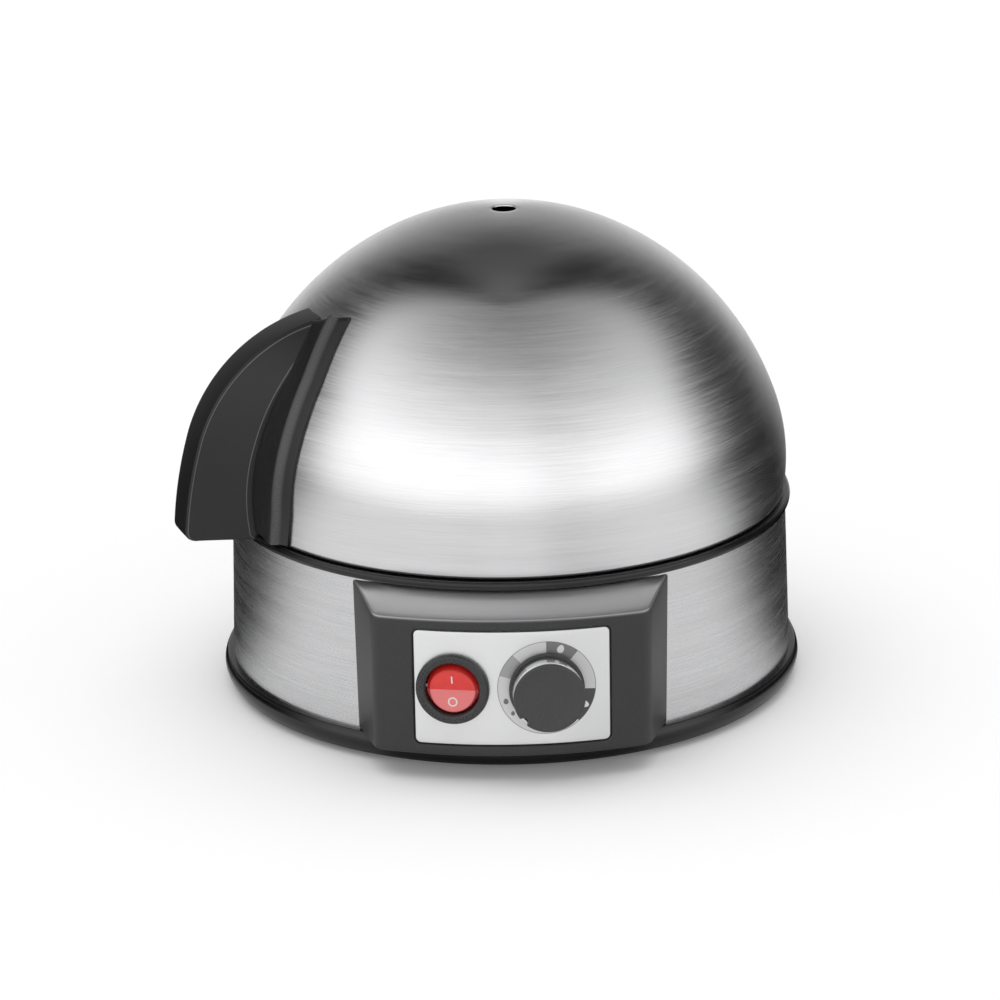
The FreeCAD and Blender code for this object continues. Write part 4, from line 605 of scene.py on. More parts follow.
def rocker_plastic():
    """Clear red plastic over a lamp, with a bar and a ring printed in white; a painted paler reflection
    on its lower half and painted shade towards the rim of its face.
    """
    finish = Finish("rocker_red")
    x, y = finish.surface()
    where = finish.where()
    cloud, grit = noise(where, 400.0, 2.0), noise(where, 2600.0, 1.0)
    bar = (x.math("ABSOLUTE", x) < 0.22) * (y.math("ABSOLUTE", y - 3.75) < 1.35)
    from_ring = reach(x, y + 3.9)
    ring = (from_ring > 1.05) * (from_ring < 1.5)
    lower = soft_step(0.0 - y, -0.1, 0.15)
    edge = soft_step(reach(x, y), 6.6, 7.3)
    colour = blended(spread(0.3, 0.7, cloud), (0.74, 0.030, 0.024), (0.86, 0.05, 0.04))
    # Painted reflection: the lower half turns pale pink as if it mirrored the light above it
    colour = blended(lower * 0.75, colour, (0.88, 0.30, 0.30))
    # Painted shade: darker red towards the rim of the face
    colour = blended(edge * 0.55, colour, (0.30, 0.008, 0.006))
    print_mask = bar + ring
    colour = blended(print_mask, colour, (0.85, 0.82, 0.80))
    finish.set(Base_Color=colour, Roughness=0.22 + spread(-0.03, 0.03, grit) + print_mask * 0.15)
    finish.set(Coat_Weight=0.3, Coat_Roughness=0.06)
    glow = blended(print_mask, (0.55, 0.01, 0.008), (0.2, 0.18, 0.17))
    finish.set(Emission_Color=glow, Emission_Strength=0.12)
    return finish.bump(grit, 0.000006)


# Colour, roughness, then speckle, grain, relief and gloss where they aren't the usual ones
MOULDED = {
    "gloss_black": ((0.007, 0.007, 0.0075), 0.18, 0.06, 900.0, 0.000003),
    "cover_black": ((0.020, 0.020, 0.021), 0.5, 0.15, 1200.0),
    "rubber_black": ((0.022, 0.022, 0.022), 0.72, 0.12, 900.0, 0.00002, 0.3),
    "switch_black": ((0.036, 0.036, 0.037), 0.30, 0.03, 1500.0, 0.0000008),
    "knob_black": ((0.046, 0.046, 0.048), 0.34, 0.07, 1900.0, 0.000006),
    "tray_black": ((0.024, 0.024, 0.025), 0.38, 0.10, 1400.0, 0.00001),
    "seal_rubber": ((0.36, 0.36, 0.35), 0.62, 0.08, 900.0, 0.00002, 0.3),
    "fuse_sleeve": ((0.70, 0.68, 0.62), 0.68, 0.12, 1200.0),
    "moulding_brown": ((0.055, 0.028, 0.014), 0.42, 0.14, 1300.0),
    "moulding_white": ((0.62, 0.61, 0.57), 0.44, 0.06, 1100.0),
    "lead_brown": ((0.13, 0.055, 0.024), 0.48, 0.10, 1500.0),
    "lead_blue": ((0.02, 0.09, 0.36), 0.46, 0.10, 1500.0),
    "lead_green": ((0.10, 0.30, 0.03), 0.46, 0.12, 1500.0),
}
# Colour, roughness, then grain and relief
CAST = {
    "screw_steel": ((0.62, 0.62, 0.61), 0.30),
    "sheet_steel": ((0.58, 0.59, 0.60), 0.36, 300.0),
    "element_steel": ((0.36, 0.37, 0.36), 0.46),
    "thermostat_aluminium": ((0.70, 0.71, 0.72), 0.40),
    "contact_brass": ((0.72, 0.52, 0.24), 0.30),
    "knob_silver": ((0.80, 0.80, 0.81), 0.20, 900.0, 0.000003),
}
# Colour, roughness, anisotropy and contrast
BRUSHED = {
    "dome_steel": ((0.78, 0.78, 0.79), 0.22, 0.85, 0.10),
    "band_steel": ((0.70, 0.70, 0.71), 0.27, 0.75, 0.12),
    "pan_steel": ((0.66, 0.66, 0.66), 0.24, 0.5, 0.06),
}
FINISHES = {"plate_silver": dial_plate(), "rocker_red": rocker_plastic()}
FINISHES.update({"handle_black": handle_plastic(), "panel_black": housing_plastic()})
for make, table in ((moulded, MOULDED), (cast_metal, CAST), (brushed, BRUSHED)):
    FINISHES.update({name: make(name, *values) for name, values in table.items()})


# Lid


def lid_dome():
    """Steel dome: rolled edge with its hem inside, outer skin, and a pierced vent."""
    edge = dome_angle(LID_Z + LID_WALL)
    vent = math.acos(VENT_R / CAP_R)
    angles = [edge + (vent - edge) * (k / 90) for k in range(91)]
    outer = [dome_point(a) for a in angles]
    hem_top = dome_angle(LID_Z + HEM_H, -2 * LID_WALL)
    middle = dome_point(edge, -LID_WALL)
    rolled = arc(middle, LID_WALL, math.degrees(edge) - 180, math.degrees(edge) - 22, 7)
    hem = [dome_point(hem_top + (edge - hem_top) * k / 4, -2 * LID_WALL) for k in range(4)]
    top_r, top_z = outer[-1]
    lip = [(top_r - 0.12, top_z - 0.05), (top_r - 0.2, top_z - 0.2)]
    inner = [dome_point(a, -LID_WALL) for a in reversed(angles[2:])]
    inner[0] = (top_r - 0.2, top_z - 0.45)
    hem_fold = [dome_point(hem_top, -LID_WALL - 0.05)]
    line = hem + rolled + outer[:-1] + [(top_r + 0.1, top_z)] + lip + inner + hem_fold
    return lathed("lid_dome_skin", line, 256, "dome_steel", 40)


def fin_lines(count=90):
    """Matching outer and root lines of the fin: (radius, height) pairs from its top to its foot."""
    shares = ((0.574, 0.981), (0.800, 0.815), (0.946, 0.480), (0.982, 0.258), (1.0, 0.05))
    outline = [(u * FIN_R, FIN_Z + s * FIN_H) for u, s in shares]
    roots = ((0.958, -1.2), (0.77, 1.2), (0.45, 2.2), (0.25, 2.5), (0.05, 2.5))
    root = [(dome_r(FIN_Z + s * FIN_H, off), FIN_Z + s * FIN_H) for s, off in roots]
    lines = []
    for knots in (outline, root):
        upper = through(*knots[:3], count * 2 // 3)
        lower = through(*knots[2:], count // 3)
        corner = arc((knots[4][0] - 3.0, FIN_Z + 3.0), 3.0, 0, -90, 8)
        lines.append(upper + lower[1:] + corner)
    return lines


def through(a, b, c, count):
    """Points of the arc through three points."""
    (ax, ay), (bx, by), (cx, cy) = a, b, c
    area = 2 * (ax * (by - cy) + bx * (cy - ay) + cx * (ay - by))
    sa, sb, sc = [x * x + y * y for x, y in (a, b, c)]
    ux = (sa * (by - cy) + sb * (cy - ay) + sc * (ay - by)) / area
    uy = (sa * (cx - bx) + sb * (ax - cx) + sc * (bx - ax)) / area
    first, last = math.atan2(ay - uy, ax - ux), math.atan2(cy - uy, cx - ux)
    last -= FULL * round((last - first) / FULL)
    return arc((ux, uy), math.dist(a, (ux, uy)), math.degrees(first), math.degrees(last), count)


def fin_skin():
    """Fin that thickens from its outer edge to its root, with a fine bead along the edge of each side."""
    outer, root = fin_lines()
    skin = Skin()
    # Across a side: (millimetres in from the outer line, lift of the surface)
    bead = [(0.25, 0.0), (0.5, 0.0), (0.62, 0.1), (0.8, 0.16), (0.98, 0.1), (1.1, 0.0)]
    bead += [(1.4, 0.0), (2.4, 0.0)]
    hollow = [(k / 12, -0.3 * math.sin(math.pi * k / 12)) for k in range(1, 12)]
    round_end = [(0.9, 0.0), (0.95, 0.03), (0.985, 0.13), (1.0, 0.30)]
    edge = [(-w, drop) for w, drop in reversed(round_end)] + [(0.0, -0.05)] + round_end
    rows = []
    for k, ((ou, oz), (ru, rz), (nu, nz)) in enumerate(zip(outer, root, normals(outer, (40.0, 60.0)))):
        depth = max(3.0, math.dist(outer[k], root[k]))
        widest = FIN_ROOT_HALF - 4.0 * max(0.0, 1 - k / 34) ** 2
        # The third number of each profile point is its distance in millimetres from a painted highlight
        # line, the bead's middle or the fin's root; 9.0 is far from both
        profile = [(mm / depth, lift, abs(mm - 0.8)) for mm, lift in bead]
        last = bead[-1][0] / depth
        deep = min(1.0, depth / 20)
        profile += [(last + (1 - last) * share, lift * deep, 9.0) for share, lift in hollow]
        profile += [(1 - 0.5 / depth, 0.0, 0.5), (1.0, 0.0, 0.0), (1 + 0.5 / depth, 0.0, 0.5)]
        gaps = [(gap, 0.0) for _, _, gap in profile]
        sides = []
        for side in (-1, 1):
            half = []
            for share, lift, _ in profile:
                w = FIN_HALF + (widest - FIN_HALF) * share
                half.append((ou + (ru - ou) * share, side * (w + lift), oz + (rz - oz) * share))
            sides.append(half)
        top = [(ou - nu * drop, w * FIN_HALF, oz - nz * drop) for w, drop in edge]
        inner = [(ru - 9.0, side * widest, rz) for side in (1, -1)]
        spots = gaps[::-1] + [(5.0, 0.0)] * len(top) + gaps + [(9.0, 0.0)] * 2
        rows.append(skin.row(sides[0][::-1] + top + sides[1] + inner, spots))
    skin.strips(rows)
    # Both ends are closed
    skin.cap(rows[0])
    skin.cap(rows[-1][::-1])
    return skin


def saddle_height(inside, span):
    """Height of the saddle at a distance in from its outer edge: edge, bevel, steep crest, hollow."""
    if inside < 0.35:
        return 0.35 + 0.65 * math.sqrt(max(0.0, 1 - (1 - inside / 0.35) ** 2))
    if inside < 3.4:
        return 1.0 + 0.5 * (inside - 0.35) / 3.05
    if inside < 6.2:
        return 1.5 + 1.9 * eased((inside - 3.4) / 2.8)
    share = min(1.0, (inside - 6.2) / max(2.0, span - 6.2))
    return 3.4 - 1.7 * eased(share * 1.15)


def saddle_half(angle):
    """Half width of the saddle as a turn about the lid, where the dome's normal rises by angle."""
    high = max(0.0, (math.degrees(angle) - 33) / 13)
    low = max(0.0, (1.8 - math.degrees(angle)) / 11.6)
    return SADDLE_HALF - math.radians(3.2 * high ** 1.3 + 1.9 * low ** 1.5)


def saddle_strip(skin, side, top):
    """Half of the saddle on one side of the fin, up to a normal's angle on the dome."""
    low = dome_angle(LID_Z + 0.25, SADDLE_T)
    columns, rows = 60, 90
    # Middle of the steep crest, in millimetres in from the outer edge; the surface coordinate counts from
    # it for the crest's painted highlight
    crest = 4.9
    sheets = ([], [])
    for n in range(rows + 1):
        share = n / rows
        middle = low + (top - low) * (share + 0.03 * math.sin(FULL * share) / FULL)
        # Rounding of the two ends: how far off each is, and its radius
        ends = (((1 - share) * (top - low) * MID_R, 0.7), (share * (top - low) * LOW_R, 0.5))
        for sheet, lifted in zip(sheets, (True, False)):
            line, spots = [], []
            for m in range(columns + 1):
                place = 1 - (1 - m / columns) ** 1.25
                angle = middle + math.radians(5.0) * (place - 0.66) * max(0.0, share - 0.8) / 0.2
                radius, _ = dome_point(angle)
                half = radius * saddle_half(middle)
                inside = half - half * place
                height = saddle_height(inside, half - FIN_ROOT_HALF)
                for gap, size in ends:
                    if gap < size:
                        height -= 0.5 * size * (1 - math.sqrt(1 - (1 - gap / size) ** 2))
                r, z = dome_point(angle, min(SADDLE_T, height) if lifted else 0.03)
                turn = side * half * place / radius
                line.append((r * math.cos(turn), r * math.sin(turn), z))
                spots.append((abs(inside - crest), 1.0) if lifted else (9.0, 0.0))
            sheet.append(skin.row(line, spots))
    shell(skin, *sheets)


def lid_handle():
    """Fin and saddle; the far half of the saddle ends lower."""
    skin = fin_skin()
    saddle_strip(skin, 1, SADDLE_TOP)
    saddle_strip(skin, -1, SADDLE_FAR_TOP)
    return finished("lid_handle_grip", skin, "handle_black", 38, Matrix.Rotation(HANDLE_TURN, 4, "Z"))


# Body


def collar_ring():
    """Ring between band and lid with its rounded bead, ledge, upstand, well wall and shelf."""
    bead = [(91.0, 61.4), (91.35, 61.36), (91.66, 61.18), (91.92, 60.85), (92.06, 60.45), (92.1, 60.05)]
    bead += [(92.06, 59.6), (91.9, 59.2), (91.62, 58.88), (91.3, 58.72), (91.0, 58.7)]
    spigot = [(89.78, 58.7), (89.86, 54.1), (87.76, 54.0), (87.76, 59.3), (82.4, 56.7), (82.4, 52.0)]
    line = [(70.0, 52.0), (70.0, 53.8), (70.2, 54.0), (80.0, 54.0), (85.3, 64.6), (85.6, 64.95)]
    line += [(86.0, 65.0), (87.6, 65.0), (87.9, 64.9), (88.0, 64.6), (88.0, 61.6), (88.2, 61.4)]
    line += bead + spigot
    skin = turned(Skin(), line, 256)
    post = [(0.0, 9.2), (3.7, 9.2), (4.0, 9.5), (4.0, 52.4), (0.0, 52.4)]
    for x, y in [polar(SCREWS_R, SCREWS_TURN + 90 * k) for k in range(4)]:
        start = len(skin.points)
        turned(skin, post, 32, closed=False)
        skin.points[start:] = [(px + x, py + y, pz) for px, py, pz in skin.points[start:]]
    return finished("collar_ring_bead", skin, "gloss_black", 30)


def body_band():
    """Thin steel band, a little narrower at its top."""
    heights = [BAND_LOW + (BAND_TOP - BAND_LOW) * k / 24 for k in range(25)]
    outer = [(band_r(z), z) for z in heights]
    inner = [(r - BAND_WALL, z) for r, z in reversed(outer)]
    return lathed("body_band_sleeve", outer + inner, 256, "band_steel", 40)


def base_ring():
    """Ring at the floor: bulged foot with round shoulder, ledge and spigot."""
    foot = [(92.9, 1.5), (93.1, 1.58)] + through((93.2, 1.75), (94.9, 4.6), (94.2, 8.0), 16)
    edge = arc((93.4, 8.0), 0.8, 0, 90, 6)[1:]
    rest = [(89.85, 8.8), (89.85, 11.8), (89.65, 12.0), (88.0, 12.0), (87.85, 11.8)]
    rest += [(87.85, 6.0), (80.0, 6.0), (80.0, 4.0), (84.0, 4.0), (84.0, 1.5)]
    return lathed("base_ring_foot", foot + edge + rest, 256, "gloss_black", 30)


def panel_plan():
    """Right half of the housing's outline seen from above, from its root to the middle of the face."""
    root, front = Vector((PANEL_HALF, PANEL_ROOT_Y)), Vector((PANEL_FRONT_HALF, PANEL_FRONT_Y))
    along = (front - root).normalized()
    inward = Vector((along.y, -along.x)) * (-1 if along.y > 0 else 1)
    centre = Vector((0.0, FACE_Y))
    start = root + inward * PANEL_CORNER - centre
    half_b = start.dot(along)
    flank_size = math.sqrt(half_b ** 2 - start.length_squared + (FACE_R - PANEL_CORNER) ** 2) - half_b
    middle = centre + start + along * flank_size
    tangent = root + along * flank_size
    meet = centre + (middle - centre) * (FACE_R / (FACE_R - PANEL_CORNER))
    behind = root - along * 3.0
    flank = [behind + (tangent - behind) * (k / 10) for k in range(10)]
    first, last = [math.degrees(math.atan2(*(p - middle).yx)) for p in (tangent, meet)]
    corner = arc(middle, PANEL_CORNER, first + 360 * (first < last), last, 10)[:-1]
    face = arc(centre, FACE_R, math.degrees(math.asin(meet.x / FACE_R)) - 90, -90, 30)
    return [tuple(p) for p in flank] + corner + face


def housing_top(x, y):
    """Height of the housing's sloping top over a place."""
    return PANEL_TOP - (math.hypot(x, y) - BODY_R) * BEVEL_SLOPE


def panel_housing():
    """Control housing: outer skin, its thickness inside, and the stepped recess of the plate."""
    half = panel_plan()
    plan = half + [(-x, y) for x, y in reversed(half[:-1])]
    directions = normals(plan, (0.0, PANEL_ROOT_Y))
    backs = [HOUSING_BACK_R / math.hypot(x, y) for x, y in plan]

    def loop(inset, share, base, part):
        """Row round the plan: set in, drawn to the band by a share, at base plus a part of the top."""
        row = []
        for (x, y), (nx, ny), back in zip(plan, directions, backs):
            px, py = x - nx * inset, y - ny * inset
            px, py = px + (x * back - px) * share, py + (y * back - py) * share
            row.append((px, py, min(HOUSING_HIGH, base + part * housing_top(px, py))))
        return row

    low, wall = BAND_LOW, HOUSING_WALL
    # Inset, share towards the band, and base and part of the height outside and inside
    rows = [(0.8, share, (low, 0), (low + wall, 0)) for share in (1.0, 0.6, 0.2, 0.0)]
    for inset, rise in ((0.45, 0.05), (0.15, 0.25), (0.02, 0.6)):
        rows.append((inset, 0.0, (low + rise, 0), (low + wall + rise * 0.4, 0)))
    for share in [k / 11 for k in range(12)]:
        outside = low + 0.9 - (low + 1.9) * share
        inside = low + wall + 0.4 - (low + 2 * wall + 0.8) * share
        rows.append((0.0, 0.0, (outside, share), (inside, share)))
    for inset, drop in ((0.03, 0.72), (0.13, 0.43), (0.33, 0.18), (0.6, 0.05), (0.95, 0.0)):
        rows.append((inset, 0.0, (-drop, 1), (-wall - drop * 0.4, 1)))
    for share in (0.15, 0.4, 0.7, 0.82, 0.92, 1.0):
        rows.append((0.95, share, (max(0.0, (share - 0.7) / 0.3) ** 1.5, 1), (-wall, 1)))
    skin = Skin()
    outer = [skin.row(loop(inset, share, *outside)) for inset, share, outside, _ in rows]
    inner = [skin.row(loop(inset + wall, share, *inside)) for inset, share, _, inside in rows]
    shell(skin, outer, inner)
    thing = finished("panel_housing_shell", skin, "panel_black", 35)
    steps = ((-1.2, 1.15), (0.0, 0.85), (0.12, 0.66), (0.35, 0.55), (1.0, 0.5))
    recess = inlay_skin([(FACE_R - depth, grow) for depth, grow in steps], (0.8, 0.6, 0.4, 0.2))
    tools = [finished("inlay_tool", recess, "panel_black", 30)]
    return cut(thing, tools + [panel_drill(SWITCH_X, 10.1), panel_drill(KNOB_X, 5.2)], 35)


def inlay_outline(grow):
    """Rounded rectangle of the plate, grown, as (along the face, height), from its right edge on."""
    radius = max(0.05, INLAY_CORNER + grow)
    right, low, high = INLAY_HALF + grow - radius, INLAY_LOW - grow + radius, INLAY_HIGH + grow - radius
    points = []
    for cx, cz, first in ((right, high, 0), (-right, high, 90), (-right, low, 180), (right, low, 270)):
        points += arc((cx, cz), radius, first, first + 90, 6)
    # Extra points along the edges follow the curve of the face
    filled = []
    for (x, z), (next_x, next_z) in zip(points, points[1:] + points[:1]):
        steps = max(1, int(math.hypot(next_x - x, next_z - z) / 2.5))
        filled += [(x + (next_x - x) * k / steps, z + (next_z - z) * k / steps) for k in range(steps)]
    return filled


def on_face(x, z, radius):
    """Place on the curved face, or at another radius about the same axis."""
    turn = math.asin(x / FACE_R)
    return (radius * math.sin(turn), FACE_Y - radius * math.cos(turn), z)


def inlay_skin(steps, shares):
    """Plate's outline at steps of (radius, growth); rows that shrink by shares close both ends."""
    skin = Skin()

    def bent(outline, radius):
        return skin.row([on_face(x, z, radius) for x, z in outline], outline)

    rows = [bent(inlay_outline(grow), radius) for radius, grow in steps]
    skin.strips(rows)
    for before, (radius, grow), flip in ((rows[-1], steps[-1], False), (rows[0], steps[0], True)):
        outline = inlay_outline(grow)
        for share in shares:
            smaller = [(x * share, INLAY_MIDDLE + (z - INLAY_MIDDLE) * share) for x, z in outline]
            row = bent(smaller, radius)
            skin.strip(before, row)
            before = row
        tip = skin.point(on_face(0.0, INLAY_MIDDLE, radius), (0.0, INLAY_MIDDLE))
        skin.fan(before, tip, flip)
    return skin


def panel_drill(x, radius):
    """Tool for a round hole through the housing or its plate."""
    line = [(0.0, -30.0), (radius, -30.0), (radius, 6.0), (0.0, 6.0)]
    return lathed("panel_drill", line, 96, "panel_black", 30, on_panel(x), closed=False)


def panel_plate():
    """Silver plate with a fine round edge, bent to the face."""
    steps = ((RECESS_R, 0.0), (INLAY_R - 0.12, 0.0), (INLAY_R - 0.03, -0.05), (INLAY_R, -0.16))
    skin = inlay_skin(steps, [k / 14 for k in range(13, 0, -1)])
    plate = finished("panel_plate_silver", skin, "plate_silver", 30)
    return cut(plate, [panel_drill(SWITCH_X, 9.95), panel_drill(KNOB_X, 5.2)], 30)


# Controls


def switch_body():
    """Round bezel with a soft outer edge, flat ring and sunk lip, and the body behind it."""
    line = [(9.9, -1.0), (11.45, -0.2), (11.45, 0.6)]
    for k in range(9):
        across, up = polar(1.0, 9 * k)
        line.append((10.45 + across, 0.75 + 1.25 * up))
    line += [(10.4, 2.0), (9.35, 2.0), (9.1, 1.96), (8.95, 1.88), (8.68, 1.62), (8.55, 1.42), (8.5, 1.1)]
    line += [(8.5, -9.0), (0.0, -9.0), (0.0, -16.5), (9.9, -16.5), (9.9, -1.0)]
    return lathed("switch_bezel", line, 128, "switch_black", 34, on_panel(SWITCH_X), closed=False)


def switch_rocker():
    """Rocker with two faces that meet in a shallow vee, a soft rim and ball-shaped sides."""
    middle = Matrix.Translation((0, 0, -BALL_DROP))
    tilt = middle @ Matrix.Rotation(math.radians(7), 4, "X") @ middle.inverted()
    rim_z = math.sqrt(BALL_R ** 2 - 7.3 ** 2) - BALL_DROP
    slope = math.tan(math.radians(10))

    def face_z(y):
        return rim_z + (math.sqrt(y * y + 0.06) - 7.3) * slope

    # Each row: its radius, and its height by the sine of its turn
    levels = [(r, lambda s, r=r: face_z(r * s)) for r in [0.9 * k for k in range(1, 8)] + [6.75, 7.0]]
    for radius, drop in ((7.16, 0.04), (7.28, 0.14), (7.36, 0.3)):
        levels.append((radius, lambda s, drop=drop: face_z(7.0 * s) - drop))
    for z in (0.0, -2.2, -4.6, -7.0):
        levels.append((math.sqrt(BALL_R ** 2 - (z + BALL_DROP) ** 2) - 0.02, lambda s, z=z: z))
    skin = Skin()
    count = 96
    rows = []
    for radius, height in levels:
        spots = [polar(radius, 360 * k / count) for k in range(count)]
        rows.append(skin.row([(x, y, height(y / radius)) for x, y in spots], spots))
    skin.strips(rows[::-1])
    skin.fan(rows[0], skin.point((0, 0, face_z(0.0))), True)
    skin.fan(rows[-1], skin.point((0, 0, -7.0)))
    return finished("switch_rocker_cap", skin, "rocker_red", 38, on_panel(SWITCH_X) @ tilt)


def notched(radius, height, turn):
    """Radius of the drum with its pointer notch, at a turn from the right."""
    if height < 8.3 or radius < 8.0:
        return radius
    off = (turn - math.radians(90 - 228) + math.pi) % FULL - math.pi
    centre, cutter = 11.05, 1.5
    inside = cutter ** 2 - (centre * math.sin(off)) ** 2
    if abs(off) > 0.5 or inside <= 0:
        return radius
    return min(radius, centre * math.cos(off) - math.sqrt(inside))


def knob_core():
    """Dark knob: flange with soft edge, drum, slightly hollow face with a rounded rim, notch."""
    line = [(0.0, 7.5), (9.2, 7.5), (9.2, 0.5), (11.4, 0.5), (11.6, 0.56), (11.7, 0.72), (11.7, 1.15)]
    line += [(11.62, 1.32), (11.4, 1.4), (10.24, 1.4), (10.24, 8.31), (10.95, 8.32), (11.08, 8.42)]
    line += [(11.1, 9.0), (11.04, 9.22), (10.86, 9.4), (10.5, 9.49), (10.0, 9.5), (9.5, 9.46)]
    line += [(7.0, 9.33), (3.5, 9.26), (0.0, 9.24)]
    return lathed("knob_core_drum", line, 360, "knob_black", 34, on_panel(KNOB_X), notched, closed=False)


def knob_sleeve():
    """Bright sleeve round the drum."""
    line = [(10.25, 1.42), (10.85, 1.42), (10.9, 1.5), (10.9, 8.12), (10.85, 8.24), (10.74, 8.3)]
    line += [(10.25, 8.3)]
    return lathed("knob_sleeve_bright", line, 192, "knob_silver", 34, on_panel(KNOB_X))


def cord_bush():
    """Tapered strain-relief bush with shallow grooves round its outer part."""
    line = [(3.6, -11.8), (5.2, -11.8), (6.2, -2.8), (7.4, -2.8), (7.4, -0.65), (6.2, -0.65), (6.2, 0.0)]
    line += [(8.8, 0.0), (9.0, 0.2), (9.0, 1.2), (8.9, 1.6), (8.65, 2.0), (8.25, 2.3), (7.8, 2.4)]
    line += [(6.6, 2.4), (6.2, 2.6)]
    for k in range(5):
        z = 3.3 + k * 1.6
        r = 6.2 - (z - 2.4) / 9.0
        line += [(r, z), (r - 0.5, z + 0.12), (r - 0.55, z + 0.62), (r - 0.05, z + 0.74)]
    line += [(5.3, 11.1), (5.1, 11.35), (4.8, 11.4), (3.9, 11.4), (3.6, 11.1)]
    place = Matrix.Translation((0, band_r(24.0), 24.0)) @ Matrix.Rotation(math.radians(-90), 4, "X")
    return lathed("cord_bush_relief", line, 96, "rubber_black", 30, place)


def ring_tree():
    """Geometry tree: copies of one piece round a ring, as one mesh."""
    tree = bpy.data.node_groups.new("pieces_round_a_ring", "GeometryNodeTree")
    kinds = {"Geometry": "NodeSocketGeometry", "Count": "NodeSocketInt", "Ring Radius": "NodeSocketFloat",
             "First Turn": "NodeSocketFloat", "Material": "NodeSocketMaterial"}
    for label, kind in kinds.items():
        tree.interface.new_socket(label, in_out="INPUT", socket_type=kind)
    tree.interface.new_socket("Geometry", in_out="OUTPUT", socket_type="NodeSocketGeometry")
    entry = tree.nodes.new("NodeGroupInput")
    given = {label: Signal(tree, entry.outputs[label]) for label in kinds}
    node = Signal(tree).node
    size = {"Vertices": given["Count"], "Radius": given["Ring Radius"]}
    ring = node("GeometryNodeMeshCircle", {"fill_type": "NONE"}, size)
    turn = node("ShaderNodeCombineXYZ", {}, {"Z": given["First Turn"]})
    ring = node("GeometryNodeTransform", {}, {"Geometry": ring, "Rotation": turn})
    copies = node("GeometryNodeInstanceOnPoints", {}, {"Points": ring, "Instance": given["Geometry"]})
    whole = node("GeometryNodeRealizeInstances", {}, {"Geometry": copies})
    painted = node("GeometryNodeSetMaterial", {}, {"Geometry": whole, "Material": given["Material"]})
    leave = tree.nodes.new("NodeGroupOutput")
    tree.links.new(painted.socket, leave.inputs[0])
    return tree


def round_ring(thing, radius, first, slot_name):
    """Four of a piece round a ring, in one mesh."""
    step = thing.modifiers.new("ring", "NODES")
    step.node_group = TREE
    names = {item.name: item.identifier for item in TREE.interface.items_tree if item.in_out == "INPUT"}
    values = {"Count": 4, "Ring Radius": radius * MM, "First Turn": math.radians(first)}
    values["Material"] = FINISHES[slot_name]
    for label, value in values.items():
        step[names[label]] = value
    return settled(thing, 30)


def chassis_screws():
    """Four long screws with domed heads and a cross recess, seen from below."""
    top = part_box("chassis_screws")[1][2] / MM
    head = [(0.0, 3.1), (2.2, 3.12), (2.75, 3.28), (3.05, 3.6), (3.2, 4.1), (3.2, 5.1), (1.6, 5.1)]
    thread = [(1.6 - 0.22 * (k % 2), 6.0 + 0.45 * k) for k in range(int((top - 7.5) / 0.45))]
    line = head + thread + [(1.3, top - 0.4), (0.9, top), (0.0, top)]
    screw = lathed("chassis_screws_set", line, 40, "screw_steel", 30, closed=False)
    cross = Skin()
    rows = []
    for z, long, wide in ((2.6, 1.7, 0.42), (4.3, 0.9, 0.26)):
        plus = [(long, wide), (wide, wide), (wide, long), (-wide, long), (-wide, wide), (-long, wide)]
        plus += [(-x, -y) for x, y in plus]
        rows.append(cross.row([(x, y, z) for x, y in plus]))
    cross.strip(*rows)
    for row in rows:
        cross.cap(row)
    cut(screw, [finished("cross_tool", cross, "screw_steel")], 30)
    return round_ring(screw, SCREWS_R, SCREWS_TURN, "screw_steel")


def rubber_feet():
    """Four feet with two fine grooves in the sole, and a barbed stem."""
    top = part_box("rubber_feet")[1][2] / MM
    line = [(0.0, 0.0), (1.9, 0.0), (2.1, 0.25), (2.6, 0.25), (2.8, 0.0), (4.2, 0.0), (4.4, 0.25)]
    line += [(4.9, 0.25), (5.1, 0.0), (6.5, 0.0), (6.75, 0.07), (6.93, 0.25), (7.0, 0.5), (7.0, 1.5)]
    line += [(3.0, 1.5), (3.0, 3.5), (4.2, 3.5), (4.2, top - 0.5), (3.2, top), (0.0, top)]
    foot = lathed("rubber_feet_set", line, 64, "rubber_black", 30, closed=False)
    return round_ring(foot, FEET_R, FEET_TURN, "rubber_black")


TREE = ring_tree()
fitted(chassis_screws(), "base", "chassis_screws")
fitted(rubber_feet(), "base", "rubber_feet")
fitted(lid_dome(), "lid", "lid_dome")
fitted(lid_handle(), "lid", "lid_handle")
fitted(collar_ring(), "base", "collar_ring")
fitted(body_band(), "base", "body_band")
fitted(base_ring(), "base", "base_ring")
fitted(panel_housing(), "base", "panel_housing")
fitted(panel_plate(), "base", "panel_plate")
fitted(switch_body(), "base", "switch_body")
fitted(switch_rocker(), "rocker", "switch_rocker")
fitted(knob_core(), "knob", "knob_core")
fitted(knob_sleeve(), "knob", "knob_sleeve")
fitted(cord_bush(), "base", "cord_bush")
merged("egg_tray", "egg_tray_rack", "tray", "tray_black")

for part in frame["record"]["subparts"]:
    mesh = frame["nodes"][part["node"]].data
    mesh.materials.clear()
    mesh.materials.append(FINISHES[part["material_slot"]])


# Studio


def studio_world():
    """White to the eye, to metal and to glass; softer as light."""
    world = bpy.data.worlds.new("studio")
    bpy.context.scene.world = world
    world.use_nodes = True
    tree = world.node_tree
    paths = tree.nodes.new("ShaderNodeLightPath")
    rays = ("Is Camera Ray", "Is Glossy Ray", "Is Transmission Ray")
    seen = [Signal(tree, paths.outputs[name]) for name in rays]
    shown = clipped(seen[0] + seen[1] + seen[2])
    background = tree.nodes["Background"]
    background.inputs["Color"].default_value = (1, 1, 1, 1)
    as_light = 0.62
    tree.links.new((as_light + shown * (1 - as_light)).socket, background.inputs["Strength"])


